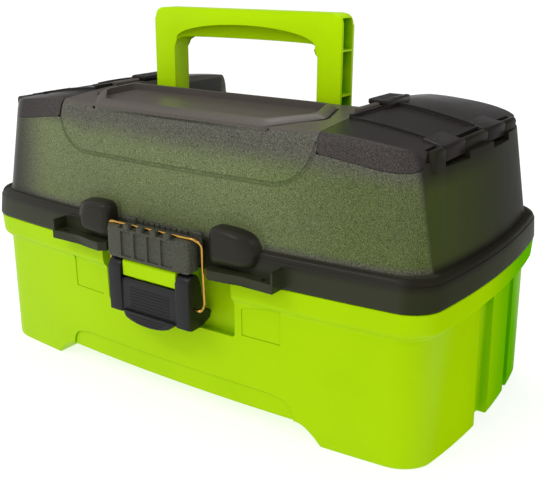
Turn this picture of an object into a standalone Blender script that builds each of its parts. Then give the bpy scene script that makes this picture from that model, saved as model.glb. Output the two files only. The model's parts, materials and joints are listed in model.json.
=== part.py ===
"""Fishing tackle box: a lime tub, a smoke lid with two top doors, a handle, a draw latch
and two cantilever trays. Metres, +Z up, front towards -Y, right end towards +X."""

import math

import bmesh
import bpy
import numpy as np
from mathutils import Matrix, Vector

# ---- driving dimensions (metres) ----
SHIFT = Vector((0.0, 0.0037, 0.0))       # puts the origin under the middle of the whole box
GAP = 0.0003                             # running gap between pieces that touch
CORNER = 0.0195                          # plan radius of the front corners
REAR_HEIGHTS = (0.130, 0.1365, 0.206)    # the rear corners soften from the lid's flange up
REAR_RADII = (0.022, 0.027, 0.035)
BOW_FRONT = 0.0108                       # how far front and back bulge past their corners
BOW_END = 0.0094                         # the same for the two ends

TUB_TOP = 0.1117
TUB_FLOOR = 0.0172
TUB_SECTIONS = (                         # height, half length, half depth
    (0.0, 0.2015, 0.1085), (0.002, 0.203, 0.110), (0.094, 0.2005, 0.112),
    (0.0962, 0.2053, 0.1155), (TUB_TOP, 0.2060, 0.1162))
TUB_CAVITY = (
    (TUB_FLOOR, 0.2000, 0.1072), (0.094, 0.1980, 0.1095), (0.099, 0.2025, 0.1127),
    (TUB_TOP + 0.01, 0.2030, 0.1133))
FOOT_INNER = 0.1265                      # the feet start here, either side of the middle
ARCH_HEIGHT = 0.0145                     # clearance under the middle of the tub
GROOVES = ((-0.020, 0.004), (0.041, 0.053))   # depth-wise spans of the grooves in each end
GROOVE_FLOOR = 0.1955
RECESS_HALF = 0.060                      # latch recess in the tub's front
RECESS_FLOOR = 0.066
RECESS_FACE = -0.104

LID_BOTTOM = 0.112
LID_SECTIONS = (
    (LID_BOTTOM, 0.2065, 0.11675), (0.1300, 0.2050, 0.1148), (0.1340, 0.2022, 0.1118),
    (0.1365, 0.1989, 0.1088), (0.2000, 0.1925, 0.1030), (0.2060, 0.1915, 0.1020),
    (0.2105, 0.1896, 0.1002), (0.2250, 0.1770, 0.0880))
LID_CAVITY = (
    (LID_BOTTOM - 0.01, 0.2032, 0.1135), (0.1290, 0.2023, 0.1122), (0.1355, 0.1965, 0.1064),
    (0.1905, 0.1908, 0.1012))
ROOF = (                                 # half-length station, crown height, fall to front
    (0.0, 0.2185, 0.0065), (0.118, 0.2185, 0.0065), (0.140, 0.2160, 0.0055),
    (0.162, 0.2120, 0.0040), (0.183, 0.2072, 0.0015), (0.206, 0.2010, 0.0005))
ROOF_HALF_Y = 0.104
DECK_HALF = 0.1045                       # lowered deck behind the middle, for the handle
DECK_FRONT = -0.022
DECK_HEIGHT = 0.194
WELL = (0.118, 0.176)                    # inner and outer x of each top well
WALL = 0.0025
WELL_FLOOR = 0.175
DOOR_INNER = 0.1148
DOOR_SEAT = 0.200
DOOR_OUTER = 0.1782
DOOR_AXIS = (0.1835, 0.203)              # x and z of each door's hinge axis
DOOR_BARREL, LUG_BARREL = 0.0046, 0.0047
PIN_RADIUS, PIN_BORE = 0.0017, 0.0020    # hinge and door pins and their bores
HANDLE_PIN, HANDLE_BORE = 0.0020, 0.0023
LEVER_PIN, LEVER_BORE = 0.0022, 0.0025
STRAPS = ((-0.0646, -0.0344), (0.0051, 0.0380))
LUGS = ((-0.0860, -0.0649), (-0.0341, 0.0048), (0.0383, 0.0600))
SEAT_HALF = 0.0773                       # half width of the low stretch of each end wall

HINGE_Y, HINGE_Z = 0.1216, 0.112         # the lid's hinge axis, along X
HINGE_RADIUS = 0.0045
HINGE_X = 0.105                          # middle of each of the two hinges
KNUCKLE_HALF = 0.0066

HANDLE_AXIS = (-0.0095, 0.203)
HANDLE_HALF = 0.0855
HANDLE_TOP = 0.2795
HANDLE_DEPTH = 0.017
HANDLE_LEG = 0.0195
GRIP_HEIGHT = 0.022
TOE_RADIUS = 0.0083                      # rounded foot of each leg, about the pivot

LEVER_AXIS = (-0.1255, 0.105)            # y and z of the latch lever's pivot
BAIL_AXIS = (-0.1255, 0.086)             # y and z of the wire's pivot in the lever
LEVER_HALF = 0.0373
LEVER_FRONT = -0.132
BAIL_HALF = 0.040
WIRE_RADIUS = 0.0011
BLOCK_HALF = 0.0375
BLOCK_TOP = 0.1364
WIRE_LEDGE = 0.1354                      # lower front of the block's top, under the wire
LATCH_FACE = -0.1125                     # flat on the lid's flange behind the block

ARM_PIVOTS = {"rear": 0.045, "front": -0.005}   # y of the arm pivots in the tub
ARM_PIVOT_Z = 0.088
TO_LOWER = (-0.038, 0.010)               # from an arm's pivot to the lower tray's stud
TO_UPPER = (-0.062, 0.034)
ARM_X, ARM_THICK = 0.1810, 0.003
STUD_RADIUS = 0.003
TRAY_HALF = 0.176
LOWER_TRAY = (-0.092, 0.030, 0.066, 0.106)      # y front, y back, z bottom, z top
UPPER_TRAY = (-0.086, 0.030, 0.1135, 0.158)
TRAY_WALL = 0.0020
LOWER_COLUMNS, UPPER_COLUMNS = 6, 4      # front bays of each tray; the rear row has half

COLLECTION = "tackle_box"


# ---- scene helpers ----
def clear_scene():
    for item in list(bpy.data.objects):
        bpy.data.objects.remove(item, do_unlink=True)


def new_collection(name):
    collection = bpy.data.collections.new(name)
    bpy.context.scene.collection.children.link(collection)
    return collection


def material(name, colour, roughness, metallic=0.0, transmission=0.0):
    made = bpy.data.materials.new(name)
    made.use_nodes = True
    shader = made.node_tree.nodes["Principled BSDF"]
    shader.inputs["Base Color"].default_value = (*colour, 1.0)
    shader.inputs["Roughness"].default_value = roughness
    shader.inputs["Metallic"].default_value = metallic
    shader.inputs["Transmission Weight"].default_value = transmission
    return made


def add_object(name, mesh, where, pivot=(0.0, 0.0, 0.0), look=None):
    """An object whose origin is at pivot; its mesh is given in the box's own coordinates."""
    mesh.name = name
    mesh.transform(Matrix.Translation(-Vector(pivot)))
    item = bpy.data.objects.new(name, mesh)
    item.location = Vector(pivot) + SHIFT
    where.objects.link(item)
    if look:
        mesh.materials.clear()
        mesh.materials.append(look)
        mesh.shade_smooth()
        mesh.set_sharp_from_angle(angle=math.radians(32))
    else:
        item.hide_render = True
        item.display_type = "WIRE"
    return item


def boolean(target, tool, operation="DIFFERENCE"):
    modifier = target.modifiers.new(f"{operation.lower()} {tool.name}", "BOOLEAN")
    modifier.operation = operation
    modifier.object = tool
    modifier.solver = "EXACT"


def bevel(target, width, segments=2, angle=40):
    modifier = target.modifiers.new("bevel", "BEVEL")
    modifier.width = width
    modifier.segments = segments
    modifier.limit_method = "ANGLE"
    modifier.angle_limit = math.radians(angle)


# ---- mesh helpers ----
def mesh_from(form):
    bmesh.ops.recalc_face_normals(form, faces=form.faces)
    if form.calc_volume(signed=True) < 0:
        bmesh.ops.reverse_faces(form, faces=form.faces)
    mesh = bpy.data.meshes.new("mesh")
    form.to_mesh(mesh)
    form.free()
    return mesh


def box(low, high):
    """A box between two opposite corners."""
    form = bmesh.new()
    bmesh.ops.create_cube(form, size=1.0)
    low, high = Vector(low), Vector(high)
    bmesh.ops.scale(form, vec=high - low, verts=form.verts)
    bmesh.ops.translate(form, vec=(low + high) / 2, verts=form.verts)
    return mesh_from(form)


def cylinder(radius, start, end, segments=20):
    """A closed cylinder between two points."""
    start, end = Vector(start), Vector(end)
    form = bmesh.new()
    bmesh.ops.create_cone(form, cap_ends=True, segments=segments, radius1=radius,
                          radius2=radius, depth=(end - start).length)
    turn = (end - start).to_track_quat("Z", "Y").to_matrix().to_4x4()
    form.transform(Matrix.Translation((start + end) / 2) @ turn)
    return mesh_from(form)


def ellipsoid(centre, radii):
    form = bmesh.new()
    bmesh.ops.create_uvsphere(form, u_segments=24, v_segments=12, radius=1.0)
    bmesh.ops.scale(form, vec=radii, verts=form.verts)
    bmesh.ops.translate(form, vec=centre, verts=form.verts)
    return mesh_from(form)


def slab(points, axis, low, high):
    """A flat outline, given in the two other axes, as thick as low to high along axis."""
    curve = bpy.data.curves.new("outline", "CURVE")
    curve.dimensions = "2D"
    curve.fill_mode = "BOTH"
    curve.extrude = (high - low) / 2
    spline = curve.splines.new("POLY")
    spline.points.add(len(points) - 1)
    for knot, (u, v) in zip(spline.points, points):
        knot.co = (u, v, 0.0, 1.0)
    spline.use_cyclic_u = True
    item = bpy.data.objects.new("outline", curve)
    bpy.context.scene.collection.objects.link(item)
    bpy.context.view_layer.update()
    mesh = bpy.data.meshes.new_from_object(item.evaluated_get(bpy.context.evaluated_depsgraph_get()))
    bpy.data.objects.remove(item, do_unlink=True)
    turn = {"X": Matrix(((0, 0, 1, 0), (1, 0, 0, 0), (0, 1, 0, 0), (0, 0, 0, 1))),
            "Y": Matrix(((1, 0, 0, 0), (0, 0, -1, 0), (0, 1, 0, 0), (0, 0, 0, 1))),
            "Z": Matrix.Identity(4)}[axis]
    middle = Vector([(low + high) / 2 if name == axis else 0.0 for name in "XYZ"])
    form = bmesh.new()
    form.from_mesh(mesh)
    bmesh.ops.remove_doubles(form, verts=form.verts, dist=1e-6)
    form.transform(Matrix.Translation(middle) @ turn)
    return mesh_from(form)


def arc(centre, radius, start, end, steps):
    """Points on a circle between two angles in degrees."""
    angles = [math.radians(start + (end - start) * i / steps) for i in range(steps + 1)]
    return [(centre[0] + radius * math.cos(a), centre[1] + radius * math.sin(a)) for a in angles]


def outline(half_x, half_y, rear, corner_steps=4, long_steps=8, short_steps=4):
    """Plan outline of the box: a rounded rectangle whose four sides are gently bowed."""
    front_x, front_y = half_x - CORNER, CORNER - half_y
    rear_x, rear_y = half_x - rear, half_y - rear
    points = []
    for steps, start, end, radius in (
            (long_steps, (-front_x, -half_y), (front_x, -half_y), CORNER),
            (short_steps, (half_x, front_y), (half_x, rear_y), rear),
            (long_steps, (rear_x, half_y), (-rear_x, half_y), rear),
            (short_steps, (-half_x, rear_y), (-half_x, front_y), CORNER)):
        start, end = Vector(start), Vector(end)
        points += [start.lerp(end, i / steps) for i in range(steps + 1)]
        corner = Vector((math.copysign(half_x - radius, end.x),
                         math.copysign(half_y - radius, end.y)))
        first = math.atan2(end.y - corner.y, end.x - corner.x)
        points += [corner + radius * Vector((math.cos(first + a), math.sin(first + a)))
                   for a in (math.pi / 2 * i / corner_steps for i in range(1, corner_steps))]
    return [(p.x - math.copysign(BOW_END, p.x) * (p.y / half_y) ** 2 * abs(p.x) / half_x,
             p.y - math.copysign(BOW_FRONT, p.y) * (p.x / half_x) ** 2 * abs(p.y) / half_y)
            for p in points]


def rear_radius(height):
    return float(np.interp(height, REAR_HEIGHTS, REAR_RADII))


def loft(rings):
    """A closed skin through rings of equal point counts, capped at both ends."""
    form = bmesh.new()
    loops = [[form.verts.new(point) for point in ring] for ring in rings]
    for lower, upper in zip(loops, loops[1:]):
        for i in range(len(lower)):
            j = (i + 1) % len(lower)
            form.faces.new((lower[i], lower[j], upper[j], upper[i]))
    form.faces.new(loops[0])
    form.faces.new(loops[-1])
    return mesh_from(form)


def shell_form(sections, inset=0.0):
    """The bowed outline drawn up through (height, half length, half depth) sections."""
    return loft([[(x, y, height) for x, y in
                  outline(half_x - inset, half_y - inset, rear_radius(height))]
                 for height, half_x, half_y in sections])


def crown(x):
    """Crown height and fall of the roof at a station along the length."""
    x = abs(x)
    for (x0, z0, f0), (x1, z1, f1) in zip(ROOF, ROOF[1:]):
        if x <= x1:
            t = (x - x0) / (x1 - x0)
            return z0 + (z1 - z0) * t, f0 + (f1 - f0) * t
    return ROOF[-1][1:]


def roof_height(x, y):
    height, fall = crown(x)
    return height - fall * (y / ROOF_HALF_Y) ** 2


def roof_form(drop=0.0):
    """Everything under the cambered roof, as one solid lofted along the length."""
    stations = [-x for x, _, _ in reversed(ROOF)] + [x for x, _, _ in ROOF[1:]]
    stations = [-0.22] + stations + [0.22]
    across = [-0.126 + 0.036 * i for i in range(8)]
    rings = []
    for x in stations:
        top = [(x, y, roof_height(x, y) - drop) for y in reversed(across)]
        rings.append([(x, across[0], 0.05), (x, across[-1], 0.05)] + top)
    return loft(rings)


def span(side, inner, outer):
    """Low and high x of a stretch that is mirrored to one side of the box."""
    return (inner, outer) if side > 0 else (-outer, -inner)


def along_x(side, inner, outer, y, z):
    low, high = span(side, inner, outer)
    return (low, y, z), (high, y, z)


# ---- the tub ----
def make_tub(parts, tools, look):
    tub = add_object("base_tub", shell_form(TUB_SECTIONS), parts, look=look)
    cavity = add_object("tub_cavity", shell_form(TUB_CAVITY), tools)
    bump = box((-RECESS_HALF - 0.003, -0.13, RECESS_FLOOR - 0.003),
               (RECESS_HALF + 0.003, RECESS_FACE + 0.003, 0.13))
    boolean(cavity, add_object("recess_bump", bump, tools))
    for side, name in ((-1, "left"), (1, "right")):
        for y0, y1 in GROOVES:
            x0, x1 = span(side, GROOVE_FLOOR - WALL, 0.21)
            boolean(cavity, add_object(f"groove_bump_{name}_{y0:+.3f}",
                                       box((x0, y0 - WALL, 0.0), (x1, y1 + WALL, 0.096)), tools))
    boolean(tub, cavity)
    boolean(tub, add_object("recess", box((-RECESS_HALF, -0.13, RECESS_FLOOR),
                                          (RECESS_HALF, RECESS_FACE, 0.13)), tools))
    arch = [(-FOOT_INNER - 0.004, -0.001), (FOOT_INNER + 0.004, -0.001), (FOOT_INNER, 0.0035),
            (0.113, ARCH_HEIGHT), (-0.113, ARCH_HEIGHT), (-FOOT_INNER, 0.0035)]
    boolean(tub, add_object("arch", slab(arch, "Y", -0.13, 0.13), tools))
    for side, name in ((-1, "front"), (1, "back")):
        scoop = [(side * 0.1130, 0.030), (side * 0.1180, 0.030), (side * 0.1180, 0.010),
                 (side * 0.1055, 0.010)]
        boolean(tub, add_object(f"scoop_{name}", slab(scoop, "X", -0.113, 0.113), tools))
    for side, name in ((-1, "left"), (1, "right")):
        x0, x1 = span(side, 0.132, 0.187)
        boolean(tub, add_object(f"foot_pocket_{name}",
                                box((x0, -0.088, 0.0035), (x1, 0.088, 0.019)), tools))
        for y0, y1 in GROOVES:
            x0, x1 = span(side, GROOVE_FLOOR, 0.22)
            groove = add_object(f"groove_{name}_{y0:+.3f}", box((x0, y0, -0.01), (x1, y1, 0.093)),
                                tools)
            boolean(tub, groove)
        for row, y in ARM_PIVOTS.items():
            stud = cylinder(STUD_RADIUS, *along_x(side, ARM_X - 0.0020, GROOVE_FLOOR - 0.001, y,
                                                  ARM_PIVOT_Z), 12)
            boolean(tub, add_object(f"tub_stud_{row}_{name}", stud, tools), "UNION")
        make_tub_knuckles(tub, tools, side, name)
    make_latch_lug(tub, tools)


def make_latch_lug(tub, tools):
    """The block in the recess that carries the lever's pin."""
    y, z = LEVER_AXIS
    lug = [(RECESS_FACE + 0.001, z - 0.0075), (y, z - 0.0062)]
    lug += arc((y, z), 0.0062, 260, 100, 8) + [(RECESS_FACE + 0.001, z + 0.0062)]
    boolean(tub, add_object("latch_lug", slab(lug, "X", -0.0246, 0.0246), tools), "UNION")
    boolean(tub, add_object("latch_bore", cylinder(LEVER_BORE, (-0.03, y, z), (0.03, y, z)), tools))


def knuckle(x0, x1, below):
    """A hinge knuckle with its web, below the axis on the tub and above it on the lid."""
    way = -1 if below else 1
    web = [(0.1080, HINGE_Z + way * 0.0012), (0.1080, HINGE_Z + way * 0.0085),
           (HINGE_Y - 0.003, HINGE_Z + way * 0.0085), (HINGE_Y + 0.0035, HINGE_Z + way * 0.0025),
           (HINGE_Y, HINGE_Z + way * 0.0012)]
    return slab(web, "X", x0, x1), cylinder(HINGE_RADIUS, (x0, HINGE_Y, HINGE_Z),
                                            (x1, HINGE_Y, HINGE_Z))


def make_tub_knuckles(tub, tools, side, name):
    for part, (inner, outer) in (("a", (-0.017, -KNUCKLE_HALF - GAP)),
                                 ("b", (KNUCKLE_HALF + GAP, 0.017))):
        x0, x1 = span(side, HINGE_X + inner, HINGE_X + outer)
        web, barrel = knuckle(x0, x1, below=True)
        boolean(tub, add_object(f"tub_web_{part}_{name}", web, tools), "UNION")
        boolean(tub, add_object(f"tub_barrel_{part}_{name}", barrel, tools), "UNION")
    bore = cylinder(PIN_BORE, *along_x(side, HINGE_X - 0.02, HINGE_X + 0.02, HINGE_Y, HINGE_Z))
    boolean(tub, add_object(f"tub_bore_{name}", bore, tools))


# ---- the lid ----
def make_lid(parts, tools, look):
    pivot = (0.0, HINGE_Y, HINGE_Z)
    lid = add_object("lid_shell", shell_form(LID_SECTIONS), parts, pivot, look)
    boolean(lid, add_object("lid_roof", roof_form(), tools), "INTERSECT")
    for side, name in ((-1, "left"), (1, "right")):
        make_boss(lid, tools, side, name)
    cavity = add_object("lid_cavity", shell_form(LID_CAVITY), tools)
    bump = box((-0.048, -0.13, 0.10), (0.048, LATCH_FACE + WALL, 0.145))
    boolean(cavity, add_object("latch_bump", bump, tools))
    boolean(lid, cavity)
    plateau = slab([(-0.096, 0.185), (-0.026, 0.185), (-0.026, 0.2135), (-0.094, 0.2055)],
                   "X", -0.094, 0.094)
    boolean(lid, add_object("plateau_cavity", plateau, tools))
    for side, name in ((-1, "left"), (1, "right")):
        x0, x1 = span(side, DECK_HALF + WALL, 0.1118)
        boolean(lid, add_object(f"rail_cavity_{name}",
                                box((x0, -0.092, 0.188), (x1, 0.092, 0.2085)), tools))
    boolean(lid, add_object("deck", box((-DECK_HALF, DECK_FRONT, DECK_HEIGHT),
                                        (DECK_HALF, 0.13, 0.23)), tools))
    boolean(lid, add_object("latch_notch", box((-0.045, -0.13, 0.105),
                                               (0.045, LATCH_FACE, 0.1405)), tools))
    for side, name in ((-1, "left"), (1, "right")):
        x0, x1 = span(side, 0.1125, WELL[1] + WALL)
        boolean(cavity, add_object(f"well_under_{name}",
                                   box((x0, -0.12, WELL_FLOOR - 0.0035), (x1, 0.12, 0.2)), tools))
        cut_well(lid, tools, side, name)
        make_door_lugs(lid, tools, side, name)
        make_handle_lugs(lid, tools, side, name)
        x0, x1 = span(side, HINGE_X - KNUCKLE_HALF, HINGE_X + KNUCKLE_HALF)
        web, barrel = knuckle(x0, x1, below=False)
        boolean(lid, add_object(f"lid_web_{name}", web, tools), "UNION")
        boolean(lid, add_object(f"lid_barrel_{name}", barrel, tools), "UNION")
        bore = cylinder(PIN_BORE, *along_x(side, HINGE_X - 0.01, HINGE_X + 0.01, HINGE_Y, HINGE_Z))
        boolean(lid, add_object(f"lid_bore_{name}", bore, tools))
    make_rim(lid, tools)


def cut_well(lid, tools, side, name):
    """The open compartment under a door and the seat that the door lies on."""
    x0, x1 = span(side, WELL[0], WELL[1])
    well = add_object(f"well_{name}", box((x0, -0.12, WELL_FLOOR), (x1, 0.12, 0.23)), tools)
    skin = shell_form(((0.16, 0.1960, 0.1060), *LID_SECTIONS[4:]), WALL)
    boolean(well, add_object(f"well_skin_{name}", skin, tools), "INTERSECT")
    boolean(lid, well)
    x0, x1 = span(side, DOOR_INNER - GAP, DOOR_AXIS[0])
    boolean(lid, add_object(f"seat_{name}", box((x0, -0.13, DOOR_SEAT), (x1, 0.13, 0.24)), tools))
    x0, x1 = span(side, DOOR_AXIS[0] - 0.0001, 0.22)
    boolean(lid, add_object(f"end_seat_{name}",
                            box((x0, -SEAT_HALF, DOOR_SEAT), (x1, SEAT_HALF, 0.24)), tools))
    for y0, y1 in ((-0.13, -SEAT_HALF), (SEAT_HALF, 0.13)):
        boolean(lid, add_object(f"post_{name}_{y0:+.3f}", box((x0, y0 - 0.0001, 0.2057),
                                                              (x1, y1 + 0.0001, 0.24)), tools))
    x0, x1 = span(side, DOOR_AXIS[0] - 0.0053, 0.22)
    for y0, y1 in STRAPS:
        room = box((x0, y0 - GAP, 0.1979), (x1, y1 + GAP, 0.24))
        boolean(lid, add_object(f"strap_room_{name}_{y0:+.3f}", room, tools))


def make_door_lugs(lid, tools, side, name):
    x, z = DOOR_AXIS
    for y0, y1 in LUGS:
        lug = cylinder(LUG_BARREL, (side * x, y0, z), (side * x, y1, z), 16)
        boolean(lid, add_object(f"lug_{name}_{y0:+.3f}", lug, tools), "UNION")
    bore = cylinder(PIN_BORE, (side * x, -0.09, z), (side * x, LUGS[-1][1] + 0.001, z), 10)
    boolean(lid, add_object(f"lug_bore_{name}", bore, tools))


def make_boss(lid, tools, side, name):
    """The rounded boss and the padlock ear beside the latch."""
    x0, x1 = span(side, 0.046, 0.088)
    boss = add_object(f"boss_{name}", box((x0, -0.1215, 0.1135), (x1, -0.100, 0.1455)), tools)
    bevel(boss, 0.0075, 2)
    boolean(lid, boss, "UNION")
    ear = [(side * x, y) for x, y in ((0.078, -0.108), (0.082, -0.119), (0.0905, -0.1235),
                                      (0.0985, -0.1235), (0.112, -0.1155), (0.116, -0.108))]
    boolean(lid, add_object(f"ear_{name}", slab(ear, "Z", LID_BOTTOM, 0.1235), tools), "UNION")
    hole = cylinder(0.0024, (side * 0.095, -0.1194, 0.10), (side * 0.095, -0.1194, 0.13), 16)
    boolean(lid, add_object(f"ear_hole_{name}", hole, tools))


def make_handle_lugs(lid, tools, side, name):
    y, z = HANDLE_AXIS
    outline_yz = [(y - 0.0065, DECK_HEIGHT - 0.001), (y + 0.0065, DECK_HEIGHT - 0.001)]
    outline_yz += arc((y, z), 0.0060, 0, 180, 8)
    for part, (inner, outer) in (("in", (0.0600, 0.0650)), ("out", (0.0868, 0.0918))):
        x0, x1 = span(side, inner, outer)
        lug = add_object(f"handle_lug_{part}_{name}", slab(outline_yz, "X", x0, x1), tools)
        boolean(lid, lug, "UNION")
    bore = cylinder(HANDLE_BORE, *along_x(side, 0.058, 0.094, y, z))
    boolean(lid, add_object(f"handle_bore_{name}", bore, tools))


def hexagon(near, tip, far):
    """Plan of the raised frame in front of the handle, from (half width, y) triples."""
    half = [near, tip, far]
    return [(-x, y) for x, y in half] + [(x, y) for x, y in reversed(half)]


def plateau_height(y):
    return 0.2120 + (y + 0.100) * 0.092


def make_rim(lid, tools):
    outer = hexagon((0.076, -0.0990), (0.103, -0.066), (0.094, -0.036))
    inner = hexagon((0.074, -0.0945), (0.0965, -0.066), (0.0895, -0.0405))
    frame = loft([[(x, y, 0.2065) for x, y in outer],
                  [(x, y, plateau_height(y) + 0.0024) for x, y in outer]])
    dish = loft([[(x, y, plateau_height(y) - 0.0002) for x, y in inner],
                 [(x, y, 0.24) for x, y in inner]])
    boolean(lid, add_object("rim_frame", frame, tools), "UNION")
    boolean(lid, add_object("rim_dish", dish, tools))


# ---- the two top doors ----
def make_door(parts, tools, look, side, name):
    pivot = (side * DOOR_AXIS[0], 0.0, DOOR_AXIS[1])
    x0, x1 = span(side, DOOR_INNER, DOOR_OUTER)
    door = add_object(f"door_{name}", box((x0, -0.12, DOOR_SEAT + GAP), (x1, 0.12, 0.22)), parts,
                      pivot, look)
    boolean(door, add_object(f"door_skin_{name}", shell_form(LID_SECTIONS[3:]), tools), "INTERSECT")
    boolean(door, bpy.data.objects["lid_roof"], "INTERSECT")
    hollow = add_object(f"door_hollow_{name}",
                        shell_form(((0.19, 0.1925, 0.103), *LID_SECTIONS[4:]), WALL), tools)
    boolean(hollow, bpy.data.objects["roof_lining"], "INTERSECT")
    x0, x1 = span(side, DOOR_INNER + 0.003, DOOR_OUTER - 0.003)
    boolean(hollow, add_object(f"door_lining_{name}", box((x0, -0.12, 0.18), (x1, 0.12, 0.24)),
                               tools), "INTERSECT")
    boolean(door, hollow)
    for y in (-0.056, 0.004):
        stations = [0.118, 0.140, 0.162, DOOR_OUTER]
        top = [(side * x, roof_height(x, y) + 0.0016) for x in stations]
        under = [(side * x, roof_height(x, y) - 0.0012) for x in reversed(stations)]
        bead = slab(top + under, "Y", y - 0.0018, y + 0.0018)
        boolean(door, add_object(f"bead_{name}_{y:+.3f}", bead, tools), "UNION")
    x0, x1 = span(side, 0.1040, 0.1200)
    boolean(door, add_object(f"tab_{name}", box((x0, -0.012, 0.2189), (x1, 0.022, 0.2228)),
                             tools), "UNION")
    x0, x1 = span(side, 0.1155, 0.1205)
    boolean(door, add_object(f"tab_root_{name}", box((x0, -0.012, 0.2160), (x1, 0.022, 0.2220)),
                             tools), "UNION")
    make_straps(door, tools, side, name)


def make_straps(door, tools, side, name):
    x, z = DOOR_AXIS
    for y0, y1 in STRAPS:
        x0, x1 = span(side, DOOR_OUTER - 0.002, x)
        web = box((x0, y0, DOOR_SEAT + 0.0010), (x1, y1, z + 0.0036))
        boolean(door, add_object(f"strap_web_{name}_{y0:+.3f}", web, tools), "UNION")
        barrel = cylinder(DOOR_BARREL, (side * x, y0, z), (side * x, y1, z), 16)
        boolean(door, add_object(f"strap_{name}_{y0:+.3f}", barrel, tools), "UNION")
    bore = cylinder(PIN_BORE, (side * x, -0.09, z), (side * x, 0.09, z), 10)
    boolean(door, add_object(f"strap_bore_{name}", bore, tools))


# ---- the handle ----
def make_handle(parts, tools, look):
    y, z = HANDLE_AXIS
    half, leg, top = HANDLE_HALF, HANDLE_LEG, HANDLE_TOP
    inner, under = half - leg, HANDLE_TOP - GRIP_HEIGHT
    foot = z - TOE_RADIUS
    shape = [(half, foot), (half, top - 0.004)] + arc((half - 0.004, top - 0.004), 0.004, 0, 90, 3)
    shape += [(-x, h) for x, h in reversed(shape)]
    shape += [(-inner, foot)] + arc((-inner + 0.008, under - 0.008), 0.008, 180, 90, 4)
    shape += [(inner - 0.008, under)] + arc((inner - 0.008, under - 0.008), 0.008, 90, 0, 4)[1:]
    shape += [(inner, foot)]
    handle = add_object("handle", slab(shape, "Y", y - HANDLE_DEPTH / 2, y + HANDLE_DEPTH / 2),
                        parts, (0.0, y, z), look)
    scoop = ellipsoid((0.0, y - HANDLE_DEPTH / 2 - 0.0005, under - 0.0015), (0.061, 0.013, 0.0115))
    boolean(handle, add_object("grip_scoop", scoop, tools))
    for side, name in ((-1, "left"), (1, "right")):
        for part, (low, high) in (("a", (0.2125, 0.2325)), ("b", (0.2345, 0.2535)),
                                  ("c", (0.2555, 0.2760))):
            x0, x1 = span(side, half - leg + 0.0032, half + 0.01)
            cell = box((x0, y - 0.0060, low), (x1, y + 0.0060, high))
            boolean(handle, add_object(f"handle_cell_{part}_{name}", cell, tools))
        bore = cylinder(HANDLE_BORE, *along_x(side, 0.05, 0.1, y, z))
        boolean(handle, add_object(f"handle_leg_bore_{name}", bore, tools))
        x0, x1 = span(side, 0.05, 0.1)
        toe = add_object(f"toe_{name}", box((x0, y - 0.02, foot - 0.01), (x1, y + 0.02, z)), tools)
        toe_round = cylinder(TOE_RADIUS, *along_x(side, 0.04, 0.11, y, z), 28)
        boolean(toe, add_object(f"toe_round_{name}", toe_round, tools))
        boolean(handle, toe)


# ---- the draw latch ----
def make_block(parts, tools, look):
    """The ribbed block on the lid that the wire hooks over."""
    pivot = (0.0, HINGE_Y, HINGE_Z)
    front = LEVER_FRONT
    block = add_object("catch_block", box((-BLOCK_HALF, front, 0.1123),
                                          (BLOCK_HALF, -0.1195, BLOCK_TOP)), parts, pivot, look)
    bevel(block, 0.0022, 2)
    web = box((-0.030, -0.1200, 0.1150), (0.030, -0.1128, 0.1345))
    boolean(block, add_object("block_web", web, tools), "UNION")
    for i, x in enumerate((-0.027, 0.032)):
        post = box((x - 0.004, -0.1165, 0.1155), (x + 0.004, -0.1128, 0.1385))
        boolean(block, add_object(f"block_post_{i}", post, tools), "UNION")
    pitch = 0.0133
    for i in range(4):
        x = (i - 1.5) * pitch
        panel = box((x - 0.0048, front - 0.01, 0.1145), (x + 0.0048, front + 0.0016, 0.1340))
        boolean(block, add_object(f"block_panel_{i}", panel, tools))
    ledge = box((-0.05, front - 0.01, WIRE_LEDGE), (0.05, -0.1235, BLOCK_TOP + 0.01))
    boolean(block, add_object("block_ledge", ledge, tools))


def make_lever(parts, tools, look):
    y, z = LEVER_AXIS
    top = arc((y, z), 0.0065, 0, 180, 8)
    cheek = [(LEVER_FRONT, 0.0722), (-0.128, 0.0705), (-0.1185, 0.0705), (-0.1085, 0.0745),
             (-0.1065, 0.0790), (-0.1085, 0.0815), (-0.1165, 0.0835), (-0.1165, 0.0930),
             (y + 0.0065, z - 0.004)] + top
    lever = add_object("latch_lever", slab(cheek, "X", 0.0255, LEVER_HALF), parts,
                       (0.0, y, z), look)
    other = add_object("lever_cheek", slab(cheek, "X", -LEVER_HALF, -0.0255), tools)
    plate = [(-0.1310, 0.0722), (-0.1310, 0.0970), (-0.1300, 0.0983), (-0.1270, 0.0983),
             (-0.1262, 0.0722)]
    body = add_object("lever_plate", slab(plate, "X", -0.0265, 0.0265), tools)
    tab = arc((0.0, 0.0765), 0.0235, 205, 335, 10)
    tab = [(x, 0.0722 + (h - 0.0722) * 0.33) for x, h in tab]
    tab = [(-0.0235, 0.0745)] + tab + [(0.0235, 0.0745)]
    lip = add_object("lever_tab", slab(tab, "Y", -0.1335, -0.1270), tools)
    for piece in (body, lip, other):
        boolean(lever, piece, "UNION")
    pin_bore = cylinder(LEVER_BORE, (-0.0366, y, z), (0.0366, y, z))
    boolean(lever, add_object("lever_bore", pin_bore, tools))
    for side, name in ((-1, "left"), (1, "right")):
        hole = cylinder(0.0015, *along_x(side, 0.0330, 0.0400, *BAIL_AXIS), 16)
        boolean(lever, add_object(f"wire_hole_{name}", hole, tools))


def rounded_route(points, radius, steps=5):
    """The polyline with its inner corners replaced by arcs."""
    points = [Vector(p) for p in points]
    route = [points[0]]
    for before, corner, after in zip(points, points[1:], points[2:]):
        a, b = (before - corner).normalized(), (after - corner).normalized()
        reach = min(radius / math.tan(a.angle(b) / 2), (before - corner).length * 0.45,
                    (after - corner).length * 0.45)
        start, end = corner + a * reach, corner + b * reach
        for i in range(steps + 1):
            t = i / steps
            route.append(start.lerp(corner, t).lerp(corner.lerp(end, t), t))
    return route + [points[-1]]


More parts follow.
